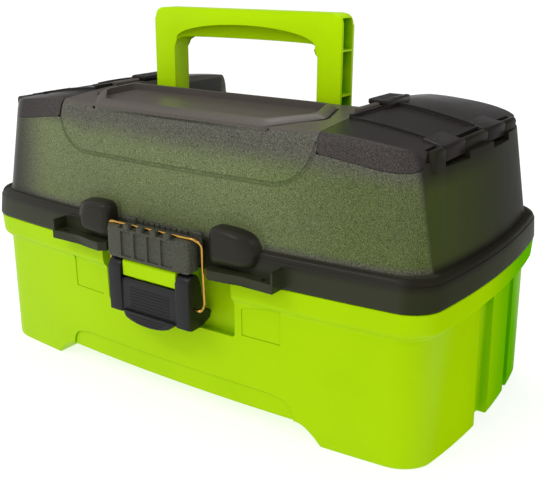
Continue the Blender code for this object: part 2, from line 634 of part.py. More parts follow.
def make_bail(parts, look):
    """The wire: both ends turn in into the lever, the top bar lies on the catch block."""
    y, z = BAIL_AXIS
    half, back, bar_y = BAIL_HALF, -0.1165, -0.1256
    bar_z = WIRE_LEDGE + GAP + WIRE_RADIUS
    right = [(0.0345, y, z), (half, y, z), (half, back, z + 0.0015), (half, back, 0.1285),
             (half - 0.0004, -0.1205, 0.1345), (half - 0.0012, bar_y, bar_z),
             (half - 0.0080, bar_y, bar_z)]
    route = [(-x, b, c) for x, b, c in right] + list(reversed(right))
    route = rounded_route(route, 0.0024, 3)
    curve = bpy.data.curves.new("bail_wire", "CURVE")
    curve.dimensions = "3D"
    curve.bevel_depth = WIRE_RADIUS
    curve.bevel_resolution = 2
    curve.use_fill_caps = True
    spline = curve.splines.new("POLY")
    spline.points.add(len(route) - 1)
    for knot, point in zip(spline.points, route):
        knot.co = (*(point - Vector((0.0, y, z))), 1.0)
    wire = bpy.data.objects.new("bail_wire", curve)
    wire.location = Vector((0.0, y, z)) + SHIFT
    curve.materials.append(look)
    parts.objects.link(wire)


# ---- pins, trays and arms ----
def make_rod(parts, look, name, radius, start, end):
    add_object(name, cylinder(radius, start, end, 12), parts, start, look)


def make_rods(parts, steel):
    y, z = LEVER_AXIS
    make_rod(parts, steel, "lever_pin", LEVER_PIN, (-0.0363, y, z), (0.0363, y, z))
    for side, name in ((-1, "left"), (1, "right")):
        make_rod(parts, steel, f"hinge_pin_{name}", PIN_RADIUS,
                 *along_x(side, HINGE_X - 0.017, HINGE_X + 0.017, HINGE_Y, HINGE_Z))
        make_rod(parts, steel, f"handle_pin_{name}", HANDLE_PIN,
                 *along_x(side, 0.0598, 0.0920, *HANDLE_AXIS))
        door_x, door_z = DOOR_AXIS
        make_rod(parts, steel, f"door_pin_{name}", PIN_RADIUS,
                 (side * door_x, LUGS[0][0] + GAP, door_z), (side * door_x, LUGS[-1][1] - GAP, door_z))


def tray_bays(y0, y1, columns):
    """Two rows of bays across the tray's length, the front row cut finer."""
    middle = y0 + (y1 - y0) * 0.46
    rows = ((y0 + TRAY_WALL, middle - TRAY_WALL / 2, columns),
            (middle + TRAY_WALL / 2, y1 - TRAY_WALL, columns // 2))
    low, high = -TRAY_HALF + TRAY_WALL, TRAY_HALF - TRAY_WALL
    for row, (b0, b1, count) in enumerate(rows):
        width = (high - low - TRAY_WALL * (count - 1)) / count
        for i in range(count):
            x0 = low + i * (width + TRAY_WALL)
            yield f"{row}{i}", x0, x0 + width, b0, b1


def make_tray(parts, tools, look, name, extent, columns, offset):
    y0, y1, z0, z1 = extent
    pivot = (0.0, ARM_PIVOTS["rear"] + offset[0], ARM_PIVOT_Z + offset[1])
    body = add_object(f"{name}_tray", box((-TRAY_HALF, y0, z0), (TRAY_HALF, y1, z1)), parts,
                      pivot, look)
    bevel(body, 0.0020, 2)
    for tag, x0, x1, b0, b1 in tray_bays(y0, y1, columns):
        bay = add_object(f"{name}_bay_{tag}", box((x0, b0, z0 + TRAY_WALL), (x1, b1, z1 + 0.01)),
                         tools)
        bevel(bay, 0.002, 1)
        boolean(body, bay)
    for side, end in ((-1, "left"), (1, "right")):
        for row, y in ARM_PIVOTS.items():
            stud = cylinder(STUD_RADIUS, *along_x(side, TRAY_HALF - 0.001, ARM_X + ARM_THICK + 0.002,
                                                  y + offset[0], ARM_PIVOT_Z + offset[1]), 12)
            boolean(body, add_object(f"{name}_stud_{row}_{end}", stud, tools), "UNION")


def make_divider(parts, look, name, extent, x, b0, b1):
    """A loose divider that stands in one rear bay."""
    plate = box((x - 0.0008, b0 + GAP, extent[2] + TRAY_WALL + 0.0022),
                (x + 0.0008, b1 - GAP, extent[3] - 0.003))
    add_object(name, plate, parts, look=look)


def make_arm(parts, tools, look, row, side, name):
    """A cranked arm from the tub's stud to the lower and upper tray studs."""
    y, z = ARM_PIVOTS[row], ARM_PIVOT_Z
    stops = [(y, z), (y + TO_LOWER[0], z + TO_LOWER[1]), (y + TO_UPPER[0], z + TO_UPPER[1])]
    x0, x1 = span(side, ARM_X + GAP, ARM_X + ARM_THICK - GAP)
    arm = None
    width = 0.0060
    for i, (a, b) in enumerate(zip(stops, stops[1:])):
        way = math.degrees(math.atan2(b[1] - a[1], b[0] - a[0]))
        link = arc(a, width, way + 90, way + 270, 6) + arc(b, width, way - 90, way + 90, 6)
        if i == 0:
            arm = add_object(f"arm_{row}_{name}", slab(link, "X", x0, x1), parts,
                             (x0, y, z), look)
        else:
            lower_link = add_object(f"arm_link_{row}_{name}", slab(link, "X", x0, x1), tools)
            boolean(arm, lower_link, "UNION")
    for i, (b, c) in enumerate(stops):
        bore = cylinder(STUD_RADIUS + GAP, *along_x(side, 0.17, 0.2, b, c), 12)
        boolean(arm, add_object(f"arm_bore_{i}_{row}_{name}", bore, tools))


def ring(side, inner, outer, y, z, radius, hole):
    """A washer-like push-on clip around a stud, as a turned profile."""
    form = bmesh.new()
    low, high = span(side, inner, outer)
    corners = ((radius, low), (radius, high), (hole, high), (hole, low))
    verts = [form.verts.new((x, y + r, z)) for r, x in corners]
    edges = [form.edges.new((verts[i], verts[(i + 1) % 4])) for i in range(4)]
    bmesh.ops.spin(form, geom=verts + edges, cent=(0.0, y, z), axis=(1.0, 0.0, 0.0),
                   angle=math.tau, steps=12, use_merge=True)
    bmesh.ops.remove_doubles(form, verts=form.verts, dist=1e-6)
    return mesh_from(form)


def make_clips(parts, look):
    """Push-on clips that keep the arms on their studs."""
    for side, name in ((-1, "left"), (1, "right")):
        for row, y in ARM_PIVOTS.items():
            for part, (dy, dz), inner in (("tub", (0.0, 0.0), ARM_X - 0.0017),
                                          ("lower", TO_LOWER, ARM_X + ARM_THICK),
                                          ("upper", TO_UPPER, ARM_X + ARM_THICK)):
                mesh = ring(side, inner, inner + 0.0014, y + dy, ARM_PIVOT_Z + dz, 0.0052,
                            STUD_RADIUS + GAP)
                add_object(f"clip_{part}_{row}_{name}", mesh, parts, look=look)


def main():
    clear_scene()
    parts = new_collection(COLLECTION)
    tools = new_collection("cutters")
    lime = material("lime_plastic", (0.42, 0.72, 0.01), 0.38)
    smoke = material("smoke_plastic", (0.055, 0.055, 0.045), 0.42, transmission=0.25)
    dark = material("dark_smoke_plastic", (0.045, 0.040, 0.038), 0.45)
    black = material("black_plastic", (0.012, 0.012, 0.013), 0.40)
    brass = material("brass_wire", (0.78, 0.55, 0.22), 0.25, metallic=1.0)
    steel = material("steel", (0.55, 0.56, 0.57), 0.35, metallic=1.0)
    clear_grey = material("divider_plastic", (0.30, 0.32, 0.28), 0.35)

    make_tub(parts, tools, lime)
    make_lid(parts, tools, smoke)
    add_object("roof_lining", roof_form(0.003), tools)
    for side, name in ((-1, "left"), (1, "right")):
        make_door(parts, tools, dark, side, name)
    make_handle(parts, tools, lime)
    make_block(parts, tools, smoke)
    make_lever(parts, tools, black)
    make_bail(parts, brass)
    make_rods(parts, steel)
    make_tray(parts, tools, lime, "lower", LOWER_TRAY, LOWER_COLUMNS, TO_LOWER)
    make_tray(parts, tools, lime, "upper", UPPER_TRAY, UPPER_COLUMNS, TO_UPPER)
    for side, name in ((-1, "left"), (1, "right")):
        for row in ARM_PIVOTS:
            make_arm(parts, tools, steel, row, side, name)
    make_clips(parts, steel)
    for extent, columns, label in ((LOWER_TRAY, LOWER_COLUMNS, "lower"),
                                   (UPPER_TRAY, UPPER_COLUMNS, "upper")):
        rear = [bay for bay in tray_bays(extent[0], extent[1], columns) if bay[0][0] == "1"]
        for end, (_, x0, x1, b0, b1) in (("left", rear[0]), ("right", rear[-1])):
            make_divider(parts, clear_grey, f"divider_{label}_{end}", extent, (x0 + x1) / 2, b0, b1)


main()
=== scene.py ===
"""Fishing tackle box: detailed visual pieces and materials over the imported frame."""

import json
import math

import bmesh
import bpy
from mathutils import Matrix, Vector

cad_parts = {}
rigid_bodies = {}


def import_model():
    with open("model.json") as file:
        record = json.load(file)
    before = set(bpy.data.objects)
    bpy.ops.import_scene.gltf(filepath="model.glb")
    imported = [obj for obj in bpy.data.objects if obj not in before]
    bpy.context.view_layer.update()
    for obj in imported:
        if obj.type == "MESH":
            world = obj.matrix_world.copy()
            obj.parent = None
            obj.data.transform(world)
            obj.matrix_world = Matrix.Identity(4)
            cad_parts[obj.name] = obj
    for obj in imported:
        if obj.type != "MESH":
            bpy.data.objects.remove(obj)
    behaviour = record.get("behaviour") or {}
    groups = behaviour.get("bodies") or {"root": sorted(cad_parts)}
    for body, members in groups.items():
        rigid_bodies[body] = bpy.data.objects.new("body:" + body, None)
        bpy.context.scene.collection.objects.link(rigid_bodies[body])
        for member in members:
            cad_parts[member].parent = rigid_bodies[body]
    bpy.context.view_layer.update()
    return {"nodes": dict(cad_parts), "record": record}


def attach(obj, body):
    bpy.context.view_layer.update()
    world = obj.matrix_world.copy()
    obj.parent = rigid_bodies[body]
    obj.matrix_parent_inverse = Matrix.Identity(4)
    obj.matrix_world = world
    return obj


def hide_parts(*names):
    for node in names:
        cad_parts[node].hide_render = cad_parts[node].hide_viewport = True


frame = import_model()

# ---- sizes shared with the frame (metres, box coordinates; SHIFT moves them to the frame) ----
SHIFT = Vector((0.0, 0.0037, 0.0))
CORNER, BOW_FRONT, BOW_END = 0.0195, 0.0108, 0.0094      # front corners' radius, and the sides' bows
REAR_CORNERS = ((0.130, 0.022), (0.1365, 0.027), (0.206, 0.035))        # (height, plan radius)
GAP, WALL, SKIN = 0.0003, 0.0025, 0.0016
SIDES = ((-1, "left"), (1, "right"))

# the shells, as (height, half length, half depth) going up
TUB_OUT = (
    (0.0, 0.1985, 0.1055), (0.0, 0.2030, 0.1100), (0.0930, 0.2005, 0.1120),
    (0.0965, 0.2053, 0.1155), (0.1117, 0.2060, 0.1162), (0.1117, 0.2048, 0.1150))
TUB_IN = ((0.0172, 0.1950, 0.1020), (0.0172, 0.2000, 0.1070), (0.094, 0.1980, 0.1095),
          (0.099, 0.2025, 0.1127), (0.1220, 0.2030, 0.1133))
TUB_WALL = (*TUB_OUT[1:5], (0.2, *TUB_OUT[4][1:]))
WALL_TOP = ((0.2000, 0.1905, 0.1030), (0.2060, 0.1893, 0.1020), (0.2105, 0.1874, 0.1002),
            (0.2250, 0.1750, 0.0880))
LID_OUT = (
    (0.1120, 0.2040, 0.1142), (0.1120, 0.2065, 0.11675), (0.1288, 0.2054, 0.1152),
    (0.1290, 0.2048, 0.1146), (0.1296, 0.2050, 0.1148), (0.1325, 0.2042, 0.1139),
    (0.1339, 0.2016, 0.1114), (0.1334, 0.1992, 0.1091), *WALL_TOP)
LID_IN = ((0.1020, 0.2032, 0.1135), (0.1265, 0.2022, 0.1120), (0.1325, 0.1966, 0.1065),
          (0.1880, 0.1888, 0.1012), (0.1905, 0.1860, 0.0985))
WALL_SKIN = ((0.16, 0.1957, 0.1066), *WALL_TOP)
# the cambered roof, as (distance from the middle, ridge height, fall to the edge)
ROOF = ((0.0, 0.2185, 0.0065), (0.118, 0.2185, 0.0065), (0.140, 0.2160, 0.0055),
        (0.162, 0.2120, 0.0040), (0.183, 0.2072, 0.0015), (0.206, 0.2010, 0.0005))
ROOF_EDGE = 0.104

# the tub's end grooves, arm studs and latch recess
GROOVES, GROOVE_FLOOR = ((-0.020, 0.004), (0.041, 0.053)), 0.1955
STUD_YS, STUD_Z = (0.045, -0.005), 0.088
RECESS_HALF, RECESS_FLOOR, RECESS_FACE = 0.060, 0.066, -0.104

# the lid's handle deck, wells and doors
DECK_HALF, DECK_FRONT, DECK_HEIGHT = 0.1045, -0.022, 0.194
WELL_IN, WELL_OUT, WELL_FLOOR = 0.118, 0.176, 0.175
DOOR_INNER, DOOR_SEAT, DOOR_OUTER = 0.1148, 0.200, 0.1782
DOOR_CORNER = 0.1806                     # the doors reach this far at their rounded corners
DOOR_X, DOOR_Z = 0.1835, 0.203           # axis of a door's hinge
HINGE_FACE = 0.1862                      # outer face of the lugs and straps
STRAPS = ((-0.0646, -0.0344), (0.0051, 0.0380))
LUGS = ((-0.0792, -0.0649), (-0.0341, 0.0048), (0.0383, 0.0601))

# the lid's hinges, the handle and the latch
HINGE_Y, HINGE_Z, HINGE_X, KNUCKLE_HALF, KNUCKLE = 0.1216, 0.112, 0.105, 0.0066, 0.0045
HANDLE_Y, HANDLE_Z = -0.0095, 0.203
LEVER_Y, LEVER_Z, LEVER_HALF, LEVER_FRONT = -0.1255, 0.105, 0.0373, -0.132
WIRE_Y, WIRE_Z, WIRE = -0.1255, 0.086, 0.00105
BLOCK_HALF, BLOCK_TOP, LATCH_FACE = 0.0375, 0.1364, -0.1125
PIN_BORE, HANDLE_BORE, LEVER_BORE = 0.0020, 0.0023, 0.0025

# how far the cutters run on behind, in front of and above the lid
BEYOND_Y, ABOVE = 0.13, 0.24


# ---- mesh helpers ----
def mesh_from(form):
    """The finished mesh, with its faces pointing out."""
    bmesh.ops.recalc_face_normals(form, faces=form.faces)
    if form.calc_volume(signed=True) < 0:
        bmesh.ops.reverse_faces(form, faces=form.faces)
    mesh = bpy.data.meshes.new("mesh")
    form.to_mesh(mesh)
    form.free()
    return mesh


def box(low, high, radius=0.0, steps=3):
    """A box between two corners, its edges rounded."""
    form = bmesh.new()
    bmesh.ops.create_cube(form, size=1.0)
    low, high = Vector(low), Vector(high)
    bmesh.ops.scale(form, vec=high - low, verts=form.verts)
    bmesh.ops.translate(form, vec=(low + high) / 2, verts=form.verts)
    if radius:
        bmesh.ops.bevel(form, geom=form.edges[:], offset=radius, segments=steps,
                        profile=0.5, affect="EDGES")
    return mesh_from(form)


def cylinder(radius, start, end, segments=32):
    """A round bar between two points."""
    start, end = Vector(start), Vector(end)
    form = bmesh.new()
    bmesh.ops.create_cone(form, cap_ends=True, segments=segments, radius1=radius,
                          radius2=radius, depth=(end - start).length)
    turn = (end - start).to_track_quat("Z", "Y").to_matrix().to_4x4()
    form.transform(Matrix.Translation((start + end) / 2) @ turn)
    return mesh_from(form)


def slab(points, axis, low, high, radius=0.0, steps=2):
    """A flat outline in the two other axes, between low and high along axis."""
    place = {"X": lambda u, v, w: (w, u, v), "Y": lambda u, v, w: (u, w, v),
             "Z": lambda u, v, w: (u, v, w)}[axis]
    form = bmesh.new()
    rings = [[form.verts.new(place(u, v, w)) for u, v in points] for w in (low, high)]
    caps = [form.faces.new(ring) for ring in rings]
    for i in range(len(points)):
        j = (i + 1) % len(points)
        form.faces.new((rings[0][i], rings[0][j], rings[1][j], rings[1][i]))
    if radius:
        edges = list({edge for cap in caps for edge in cap.edges})
        bmesh.ops.bevel(form, geom=edges, offset=radius, segments=steps, profile=0.5,
                        affect="EDGES", clamp_overlap=True)
    return mesh_from(form)


def loft(rings):
    """A closed skin over rings of equally many points."""
    form = bmesh.new()
    loops = [[form.verts.new(point) for point in ring] for ring in rings]
    for lower, upper in zip(loops, loops[1:]):
        for i in range(len(lower)):
            j = (i + 1) % len(lower)
            form.faces.new((lower[i], lower[j], upper[j], upper[i]))
    form.faces.new(loops[0])
    form.faces.new(loops[-1])
    return mesh_from(form)


def tube(points, radius, around=12):
    """A round bar swept along a list of points."""
    points = [Vector(p) for p in points]
    rings, side = [], None
    for i, point in enumerate(points):
        way = (points[min(i + 1, len(points) - 1)] - points[max(i - 1, 0)]).normalized()
        side = (side or way.orthogonal())
        side = (side - way * side.dot(way)).normalized()
        up = way.cross(side)
        turns = [math.tau * k / around for k in range(around)]
        rings.append([point + radius * (math.cos(t) * side + math.sin(t) * up) for t in turns])
    return loft(rings)


def route(points, radius, steps=4, closed=False):
    """The polyline with its corners rounded."""
    points = [Vector(p) for p in points]
    count = len(points)
    made = [] if closed else [points[0]]
    for k in range(count) if closed else range(1, count - 1):
        before, corner, after = points[k - 1], points[k], points[(k + 1) % count]
        a, b = before - corner, after - corner
        reach = min(radius, a.length * 0.48, b.length * 0.48)
        start, end = corner + a.normalized() * reach, corner + b.normalized() * reach
        for i in range(steps + 1):
            t = i / steps
            made.append(start.lerp(corner, t).lerp(corner.lerp(end, t), t))
    return made if closed else made + [points[-1]]


def rounded(points, radius, steps=4, closed=False):
    """The flat line or outline with its corners rounded."""
    return [(p.x, p.y) for p in route([(*point, 0) for point in points], radius, steps, closed)]


def arc(centre, radius, start, end, steps):
    """Points along an arc, its angles in degrees."""
    turns = [math.radians(start + (end - start) * i / steps) for i in range(steps + 1)]
    return [(centre[0] + radius * math.cos(a), centre[1] + radius * math.sin(a)) for a in turns]


def combine(base, *steps):
    """The mesh after each (operation, mesh) step."""
    scene = bpy.context.scene.collection.objects
    holder = bpy.data.objects.new("holder", base)
    scene.link(holder)
    tools = []
    for operation, mesh in steps:
        tool = bpy.data.objects.new("tool", mesh)
        scene.link(tool)
        tools.append(tool)
        modifier = holder.modifiers.new("step", "BOOLEAN")
        modifier.operation = {"-": "DIFFERENCE", "+": "UNION", "&": "INTERSECT"}[operation]
        modifier.object = tool
        modifier.solver = "EXACT"
    bpy.context.view_layer.update()
    result = holder.evaluated_get(bpy.context.evaluated_depsgraph_get())
    mesh = bpy.data.meshes.new_from_object(result)
    for item in [holder, *tools]:
        bpy.data.objects.remove(item, do_unlink=True)
    return mesh


def show(name, mesh, body, look, nodes, angle=34):
    """A visual piece that moves with a body and stands for CAD nodes."""
    mesh.transform(Matrix.Translation(SHIFT))
    mesh.name = name
    mesh.materials.clear()
    mesh.materials.append(look)
    for polygon in mesh.polygons:
        polygon.material_index = 0
    mesh.shade_smooth()
    mesh.set_sharp_from_angle(angle=math.radians(angle))
    item = bpy.data.objects.new(name, mesh)
    bpy.context.scene.collection.objects.link(item)
    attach(item, body)
    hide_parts(*nodes)


# ---- the box's shapes ----
def outline(half_x, half_y, rear):
    """Plan of the box: a rounded rectangle with four bowed sides."""
    corner_steps, long_steps, short_steps = 9, 36, 18
    front_x, front_y = half_x - CORNER, CORNER - half_y
    rear_x, rear_y = half_x - rear, half_y - rear
    points = []
    for steps, start, end, radius in (
            (long_steps, (-front_x, -half_y), (front_x, -half_y), CORNER),
            (short_steps, (half_x, front_y), (half_x, rear_y), rear),
            (long_steps, (rear_x, half_y), (-rear_x, half_y), rear),
            (short_steps, (-half_x, rear_y), (-half_x, front_y), CORNER)):
        start, end = Vector(start), Vector(end)
        points += [start.lerp(end, i / steps) for i in range(steps + 1)]
        corner = Vector((math.copysign(half_x - radius, end.x),
                         math.copysign(half_y - radius, end.y)))
        first = math.atan2(end.y - corner.y, end.x - corner.x)
        points += [corner + radius * Vector((math.cos(first + a), math.sin(first + a)))
                   for a in (math.pi / 2 * i / corner_steps for i in range(1, corner_steps))]
    return [(p.x - math.copysign(BOW_END, p.x) * (p.y / half_y) ** 2 * abs(p.x) / half_x,
             p.y - math.copysign(BOW_FRONT, p.y) * (p.x / half_x) ** 2 * abs(p.y) / half_y)
            for p in points]


def row_at(table, value):
    """The rest of a table's row at a value of its first column, held past either end."""
    for low, high in zip(table, table[1:]):
        if value <= high[0]:
            t = max(0.0, (value - low[0]) / (high[0] - low[0]))
            return [a + (b - a) * t for a, b in zip(low[1:], high[1:])]
    return table[-1][1:]


def shell(sections, inset=0.0, rounding=0.0):
    """The plan drawn up through (height, half length, half depth) sections."""
    if rounding:
        sections = route(sections, rounding, 4)
    return loft([[(x, y, z) for x, y in outline(a - inset, b - inset, *row_at(REAR_CORNERS, z))]
                 for z, a, b in sections])


def roof_height(x, y):
    """Height of the cambered roof, eased over its stations."""
    reach = 0.008
    samples = [row_at(ROOF, abs(x + reach * k / 4)) for k in range(-4, 5)]
    height = sum(s[0] for s in samples) / len(samples)
    fall = sum(s[1] for s in samples) / len(samples)
    return height - fall * (y / ROOF_EDGE) ** 2


def roof(drop=0.0):
    """Everything under the roof."""
    stations = [-0.22 + 0.44 * i / 88 for i in range(89)]
    across = [0.126 - 0.252 * i / 28 for i in range(29)]
    return loft([[(x, across[-1], 0.05), (x, across[0], 0.05)]
                 + [(x, y, roof_height(x, y) - drop) for y in across] for x in stations])


def span(side, inner, outer):
    """Low and high ends of a stretch on one side of the middle."""
    return (inner, outer) if side > 0 else (-outer, -inner)


def sided(side, inner, outer, y0, y1, z0, z1, radius=0.0, steps=3):
    """A box on one side of the middle."""
    x0, x1 = span(side, inner, outer)
    return box((x0, y0, z0), (x1, y1, z1), radius, steps)


def bar(side, inner, outer, y, z, radius, segments=32):
    """A round bar along X on one side of the middle."""
    x0, x1 = span(side, inner, outer)
    return cylinder(radius, (x0, y, z), (x1, y, z), segments)


def mirrored(points, side):
    """The points of the right side, moved to the given side."""
    return [(side * x, z) for x, z in points]


def symmetric(half):
    """A line or outline from its right half."""
    return [*mirrored(half, -1), *half[::-1]]


# ---- materials ----
class Graph:
    """Small helper that adds and links shader nodes."""

    def __init__(self, name):
        self.look = bpy.data.materials.new(name)
        self.look.use_nodes = True
        self.tree = self.look.node_tree
        self.shader = self.tree.nodes["Principled BSDF"]

    def node(self, kind, **inputs):
        """A new node, its inputs set by name."""
        made = self.tree.nodes.new(kind)
        for key, value in inputs.items():
            self.set(made.inputs[key.replace("_", " ")], value)
        return made

    def set(self, socket, value):
        """Links a socket to an output, or sets its value."""
        if hasattr(value, "links"):
            self.tree.links.new(value, socket)
        elif hasattr(socket.default_value, "__len__") and not hasattr(value, "__len__"):
            socket.default_value = (value,) * len(socket.default_value)
        else:
            socket.default_value = value

    def position(self):
        return self.node("ShaderNodeTexCoord").outputs["Object"]

    def noise(self, scale, detail=3.0, roughness=0.55, source=None):
        made = self.node("ShaderNodeTexNoise", Scale=scale, Detail=detail, Roughness=roughness)
        self.set(made.inputs["Vector"], source or self.position())
        return made.outputs["Fac"]

    def math(self, operation, a, b=0.0, clamp=False):
        made = self.node("ShaderNodeMath")
        made.operation, made.use_clamp = operation, clamp
        self.set(made.inputs[0], a)
        self.set(made.inputs[1], b)
        return made.outputs[0]

    def product(self, value, *others):
        for other in others:
            value = self.math("MULTIPLY", value, other)
        return value

    def varied(self, least, reach, scale, detail=3.0):
        """A number that wanders up from least, for uneven roughness."""
        return self.math("ADD", least, self.product(self.noise(scale, detail), reach))

    def spread(self, value, low, high, to_low=0.0, to_high=1.0):
        """Eases from to_low to to_high while the value goes from low to high."""
        made = self.node("ShaderNodeMapRange")
        made.interpolation_type = "SMOOTHSTEP"
        for key, number in (("Value", value), ("From Min", low), ("From Max", high),
                            ("To Min", to_low), ("To Max", to_high)):
            self.set(made.inputs[key], number)
        return made.outputs["Result"]

    def mix(self, factor, a, b):
        """Blends from colour a to colour b."""
        made = self.node("ShaderNodeMix")
        made.data_type = "RGBA"
        self.set(made.inputs["Factor"], factor)
        self.set(made.inputs["A"], (*a, 1.0) if isinstance(a, tuple) else a)
        self.set(made.inputs["B"], (*b, 1.0) if isinstance(b, tuple) else b)
        return made.outputs["Result"]

    def axes(self):
        """The three coordinates of the point being shaded."""
        made = self.node("ShaderNodeSeparateXYZ", Vector=self.position())
        return made.outputs["X"], made.outputs["Y"], made.outputs["Z"]

    def finish(self, colour, roughness, height, depth, strength, edge, **settings):
        """Sets the shader up: bumps of a depth, and edges that look rounded."""
        self.set(self.shader.inputs["Base Color"], colour)
        self.set(self.shader.inputs["Roughness"], roughness)
        bump = self.node("ShaderNodeBump", Strength=strength, Distance=depth, Height=height)
        if edge:
            rounder = self.node("ShaderNodeBevel", Radius=edge)
            rounder.samples = 4
            self.set(bump.inputs["Normal"], rounder.outputs["Normal"])
        self.set(self.shader.inputs["Normal"], bump.outputs["Normal"])
        for key, value in settings.items():
            self.set(self.shader.inputs[key.replace("_", " ")], value)
        return self.look


def lime_look(name, gain):
    """Lime plastic, with painted shade: deeper green in its hollows and towards the back of its ends.
    """
    g = Graph(name)
    # painted shade: ambient occlusion finds the hollows, which are mixed towards a deep green
    shade = g.node("ShaderNodeAmbientOcclusion", Distance=0.016)
    shade.samples = 6
    shade.only_local = True
    unshaded = g.spread(shade.outputs["AO"], 0.25, 0.80)
    tones = ((0.372, 0.622, 0.001), (0.392, 0.650, 0.001))
    cloud = g.spread(g.noise(14.0, 4.0), 0.35, 0.65)
    bright = g.mix(cloud, *(tuple(c * gain for c in tone) for tone in tones))
    colour = g.mix(unshaded, (0.070, 0.370, 0.0), bright)
    x, y, _ = g.axes()
    end = g.spread(g.math("ABSOLUTE", x), 0.190, 0.199)
    # painted shade: the ends are mixed towards a darker green towards the back
    colour = g.mix(g.product(g.spread(y, -0.040, 0.060), end, 0.8), colour, (0.062, 0.40, 0.0))
    return g.finish(colour, g.varied(0.36, 0.14, 60.0), g.noise(2600.0, 2.0), depth=0.00010,
                    strength=0.30, edge=0.0008, Specular_IOR_Level=g.spread(end, 0.0, 1.0, 0.10, 0.0),
                    Specular_Tint=(0.80, 1.0, 0.12, 1.0))


def glow_through(g, colour, front, speck, x, y, z, wide, deep):
    """Painted light on the lid: the glow of the lime trays inside is painted as if it shone through its
    walls.
    """
    # painted glow: a leaning, patchy band across the walls that fades out at the left end
    lean = g.product(g.math("SUBTRACT", g.noise(8.0, 3.0), 0.5), 0.022)
    rise = g.math("ADD", g.math("ADD", z, g.product(x, 0.030)), lean)
    band = g.product(g.spread(rise, 0.2030, 0.1840), g.spread(z, 0.1330, 0.1400))
    ends = g.spread(x, -0.192, -0.130)
    patch = g.spread(g.noise(6.0, 3.0), 0.25, 0.75, 0.70, 1.15)
    lit = g.math("MULTIPLY", g.product(band, ends), patch, clamp=True)
    green = g.mix(speck, (0.080, 0.112, 0.036), (0.215, 0.252, 0.112))
    dull = g.mix(speck, (0.046, 0.068, 0.016), (0.128, 0.158, 0.050))
    away = g.math("MAXIMUM", g.spread(x, 0.030, 0.165), g.spread(z, 0.172, 0.140, 0.0, 0.35))
    # painted glow, greener on the left and duller towards the right and lower down
    colour = g.mix(g.product(front, lit), colour, g.mix(away, green, dull))
    # fainter painted glow on the ends, towards the front
    along = g.product(g.spread(y, 0.060, -0.090), g.spread(wide, 0.178, 0.186))
    side = g.product(along, band, g.math("SUBTRACT", 1.0, front))
    colour = g.mix(side, colour, (0.046, 0.060, 0.016))
    # the flange is painted a paler, greener grey, as painted glow from the lime tub under it
    flange = g.product(g.spread(z, 0.1290, 0.1235), 0.55)
    colour = g.mix(flange, colour, (0.034, 0.042, 0.016))
    # painted sheen: the polished dish before the handle is painted a little paler
    dish_sheen = g.product(g.spread(z, 0.2105, 0.2125), g.spread(deep, 0.105, 0.099), 0.9)
    return g.mix(dish_sheen, colour, (0.098, 0.084, 0.072))


def smoke_look(name, body, pebble_and_sheen, glow=False):
    """Dark smoke plastic. Its front and back walls are grained and painted paler there, a painted sheen
    that fades to painted shade towards the left end; when glow is on, the lime trays' glow is painted
    on."""
    g = Graph(name)
    grain = g.noise(1450.0, 2.0, 0.5)
    speck = g.spread(grain, 0.36, 0.64)
    smooth = g.mix(g.spread(g.noise(9.0, 3.0), 0.3, 0.7), body, tuple(c * 1.3 for c in body))
    x, y, z = g.axes()
    wide = g.math("ABSOLUTE", x)
    deep = g.math("ABSOLUTE", g.math("SUBTRACT", y, SHIFT.y))
    bowed = g.math("ADD", deep, g.product(wide, wide, 0.28))
    # painted sheen on the grained walls, fading to painted shade towards the left end
    front = g.product(g.spread(bowed, 0.0935, 0.0975), g.spread(x, -0.178, -0.120, 0.10, 1.0))
    if glow:
        flat = g.product(g.spread(z, 0.1330, 0.1350), g.spread(bowed, 0.1125, 0.1105))
        front = g.product(front, flat)
    pebbled_sheen = g.mix(speck, tuple(c * 0.52 for c in pebble_and_sheen), tuple(c * 1.50 for c in pebble_and_sheen))
    colour = g.mix(front, smooth, pebbled_sheen)
    if glow:
        colour = glow_through(g, colour, front, speck, x, y, z, wide, deep)
    rough = g.math("ADD", g.varied(0.26, 0.14, 45.0), g.product(front, 0.14))
    height = g.product(grain, g.spread(front, 0.0, 1.0, 0.25, 1.0))
    # the ends face the pale floor at a low angle and would turn milky
    shine = g.spread(wide, 0.178, 0.187, 0.15, 0.007)
    return g.finish(colour, rough, height, depth=0.00025, strength=0.35, edge=0.0007,
                    Specular_IOR_Level=shine)


def black_look():
    g = Graph("black_plastic_look")
    dark = g.mix(g.noise(30.0, 4.0), (0.0035, 0.0035, 0.0045), (0.0075, 0.0070, 0.0085))
    return g.finish(dark, g.varied(0.26, 0.20, 80.0), g.noise(1500.0), depth=0.00015,
                    strength=0.3, edge=0.0006, Specular_IOR_Level=0.28)


def brass_look():
    g = Graph("brass_wire_look")
    tone = g.mix(g.noise(220.0), (0.62, 0.36, 0.08), (0.48, 0.25, 0.05))
    return g.finish(tone, g.varied(0.14, 0.18, 400.0), g.noise(1800.0, 2.0), depth=0.00006,
                    strength=0.3, edge=0, Metallic=1.0)


def steel_look():
    g = Graph("steel_look")
    stretch = g.node("ShaderNodeMapping", Scale=(1.0, 1.0, 14.0), Vector=g.position())
    brushed = g.noise(300.0, 4.0, 0.6, stretch.outputs["Vector"])
    tone = g.mix(g.noise(40.0), (0.38, 0.39, 0.40), (0.52, 0.52, 0.51))
    rough = g.math("ADD", 0.24, g.product(brushed, 0.26))
    return g.finish(tone, rough, brushed, depth=0.00005, strength=0.35, edge=0.0003, Metallic=1.0)


def divider_look():
    g = Graph("divider_plastic_look")
    tone = g.mix(g.noise(25.0), (0.24, 0.27, 0.21), (0.32, 0.35, 0.28))
    return g.finish(tone, g.varied(0.28, 0.18, 90.0), g.noise(1200.0, 2.0), depth=0.0001,
                    strength=0.25, edge=0.0003, Transmission_Weight=0.25)


def floor_look():
    g = Graph("floor_look")
    tone = g.mix(g.noise(3.0), (0.36, 0.36, 0.36), (0.38, 0.38, 0.38))
    return g.finish(tone, 0.85, g.noise(300.0, 2.0), depth=0.0001, strength=0.05, edge=0,
                    Emission_Color=(1.0, 1.0, 1.0, 1.0), Emission_Strength=0.74,
                    Specular_IOR_Level=0.2)


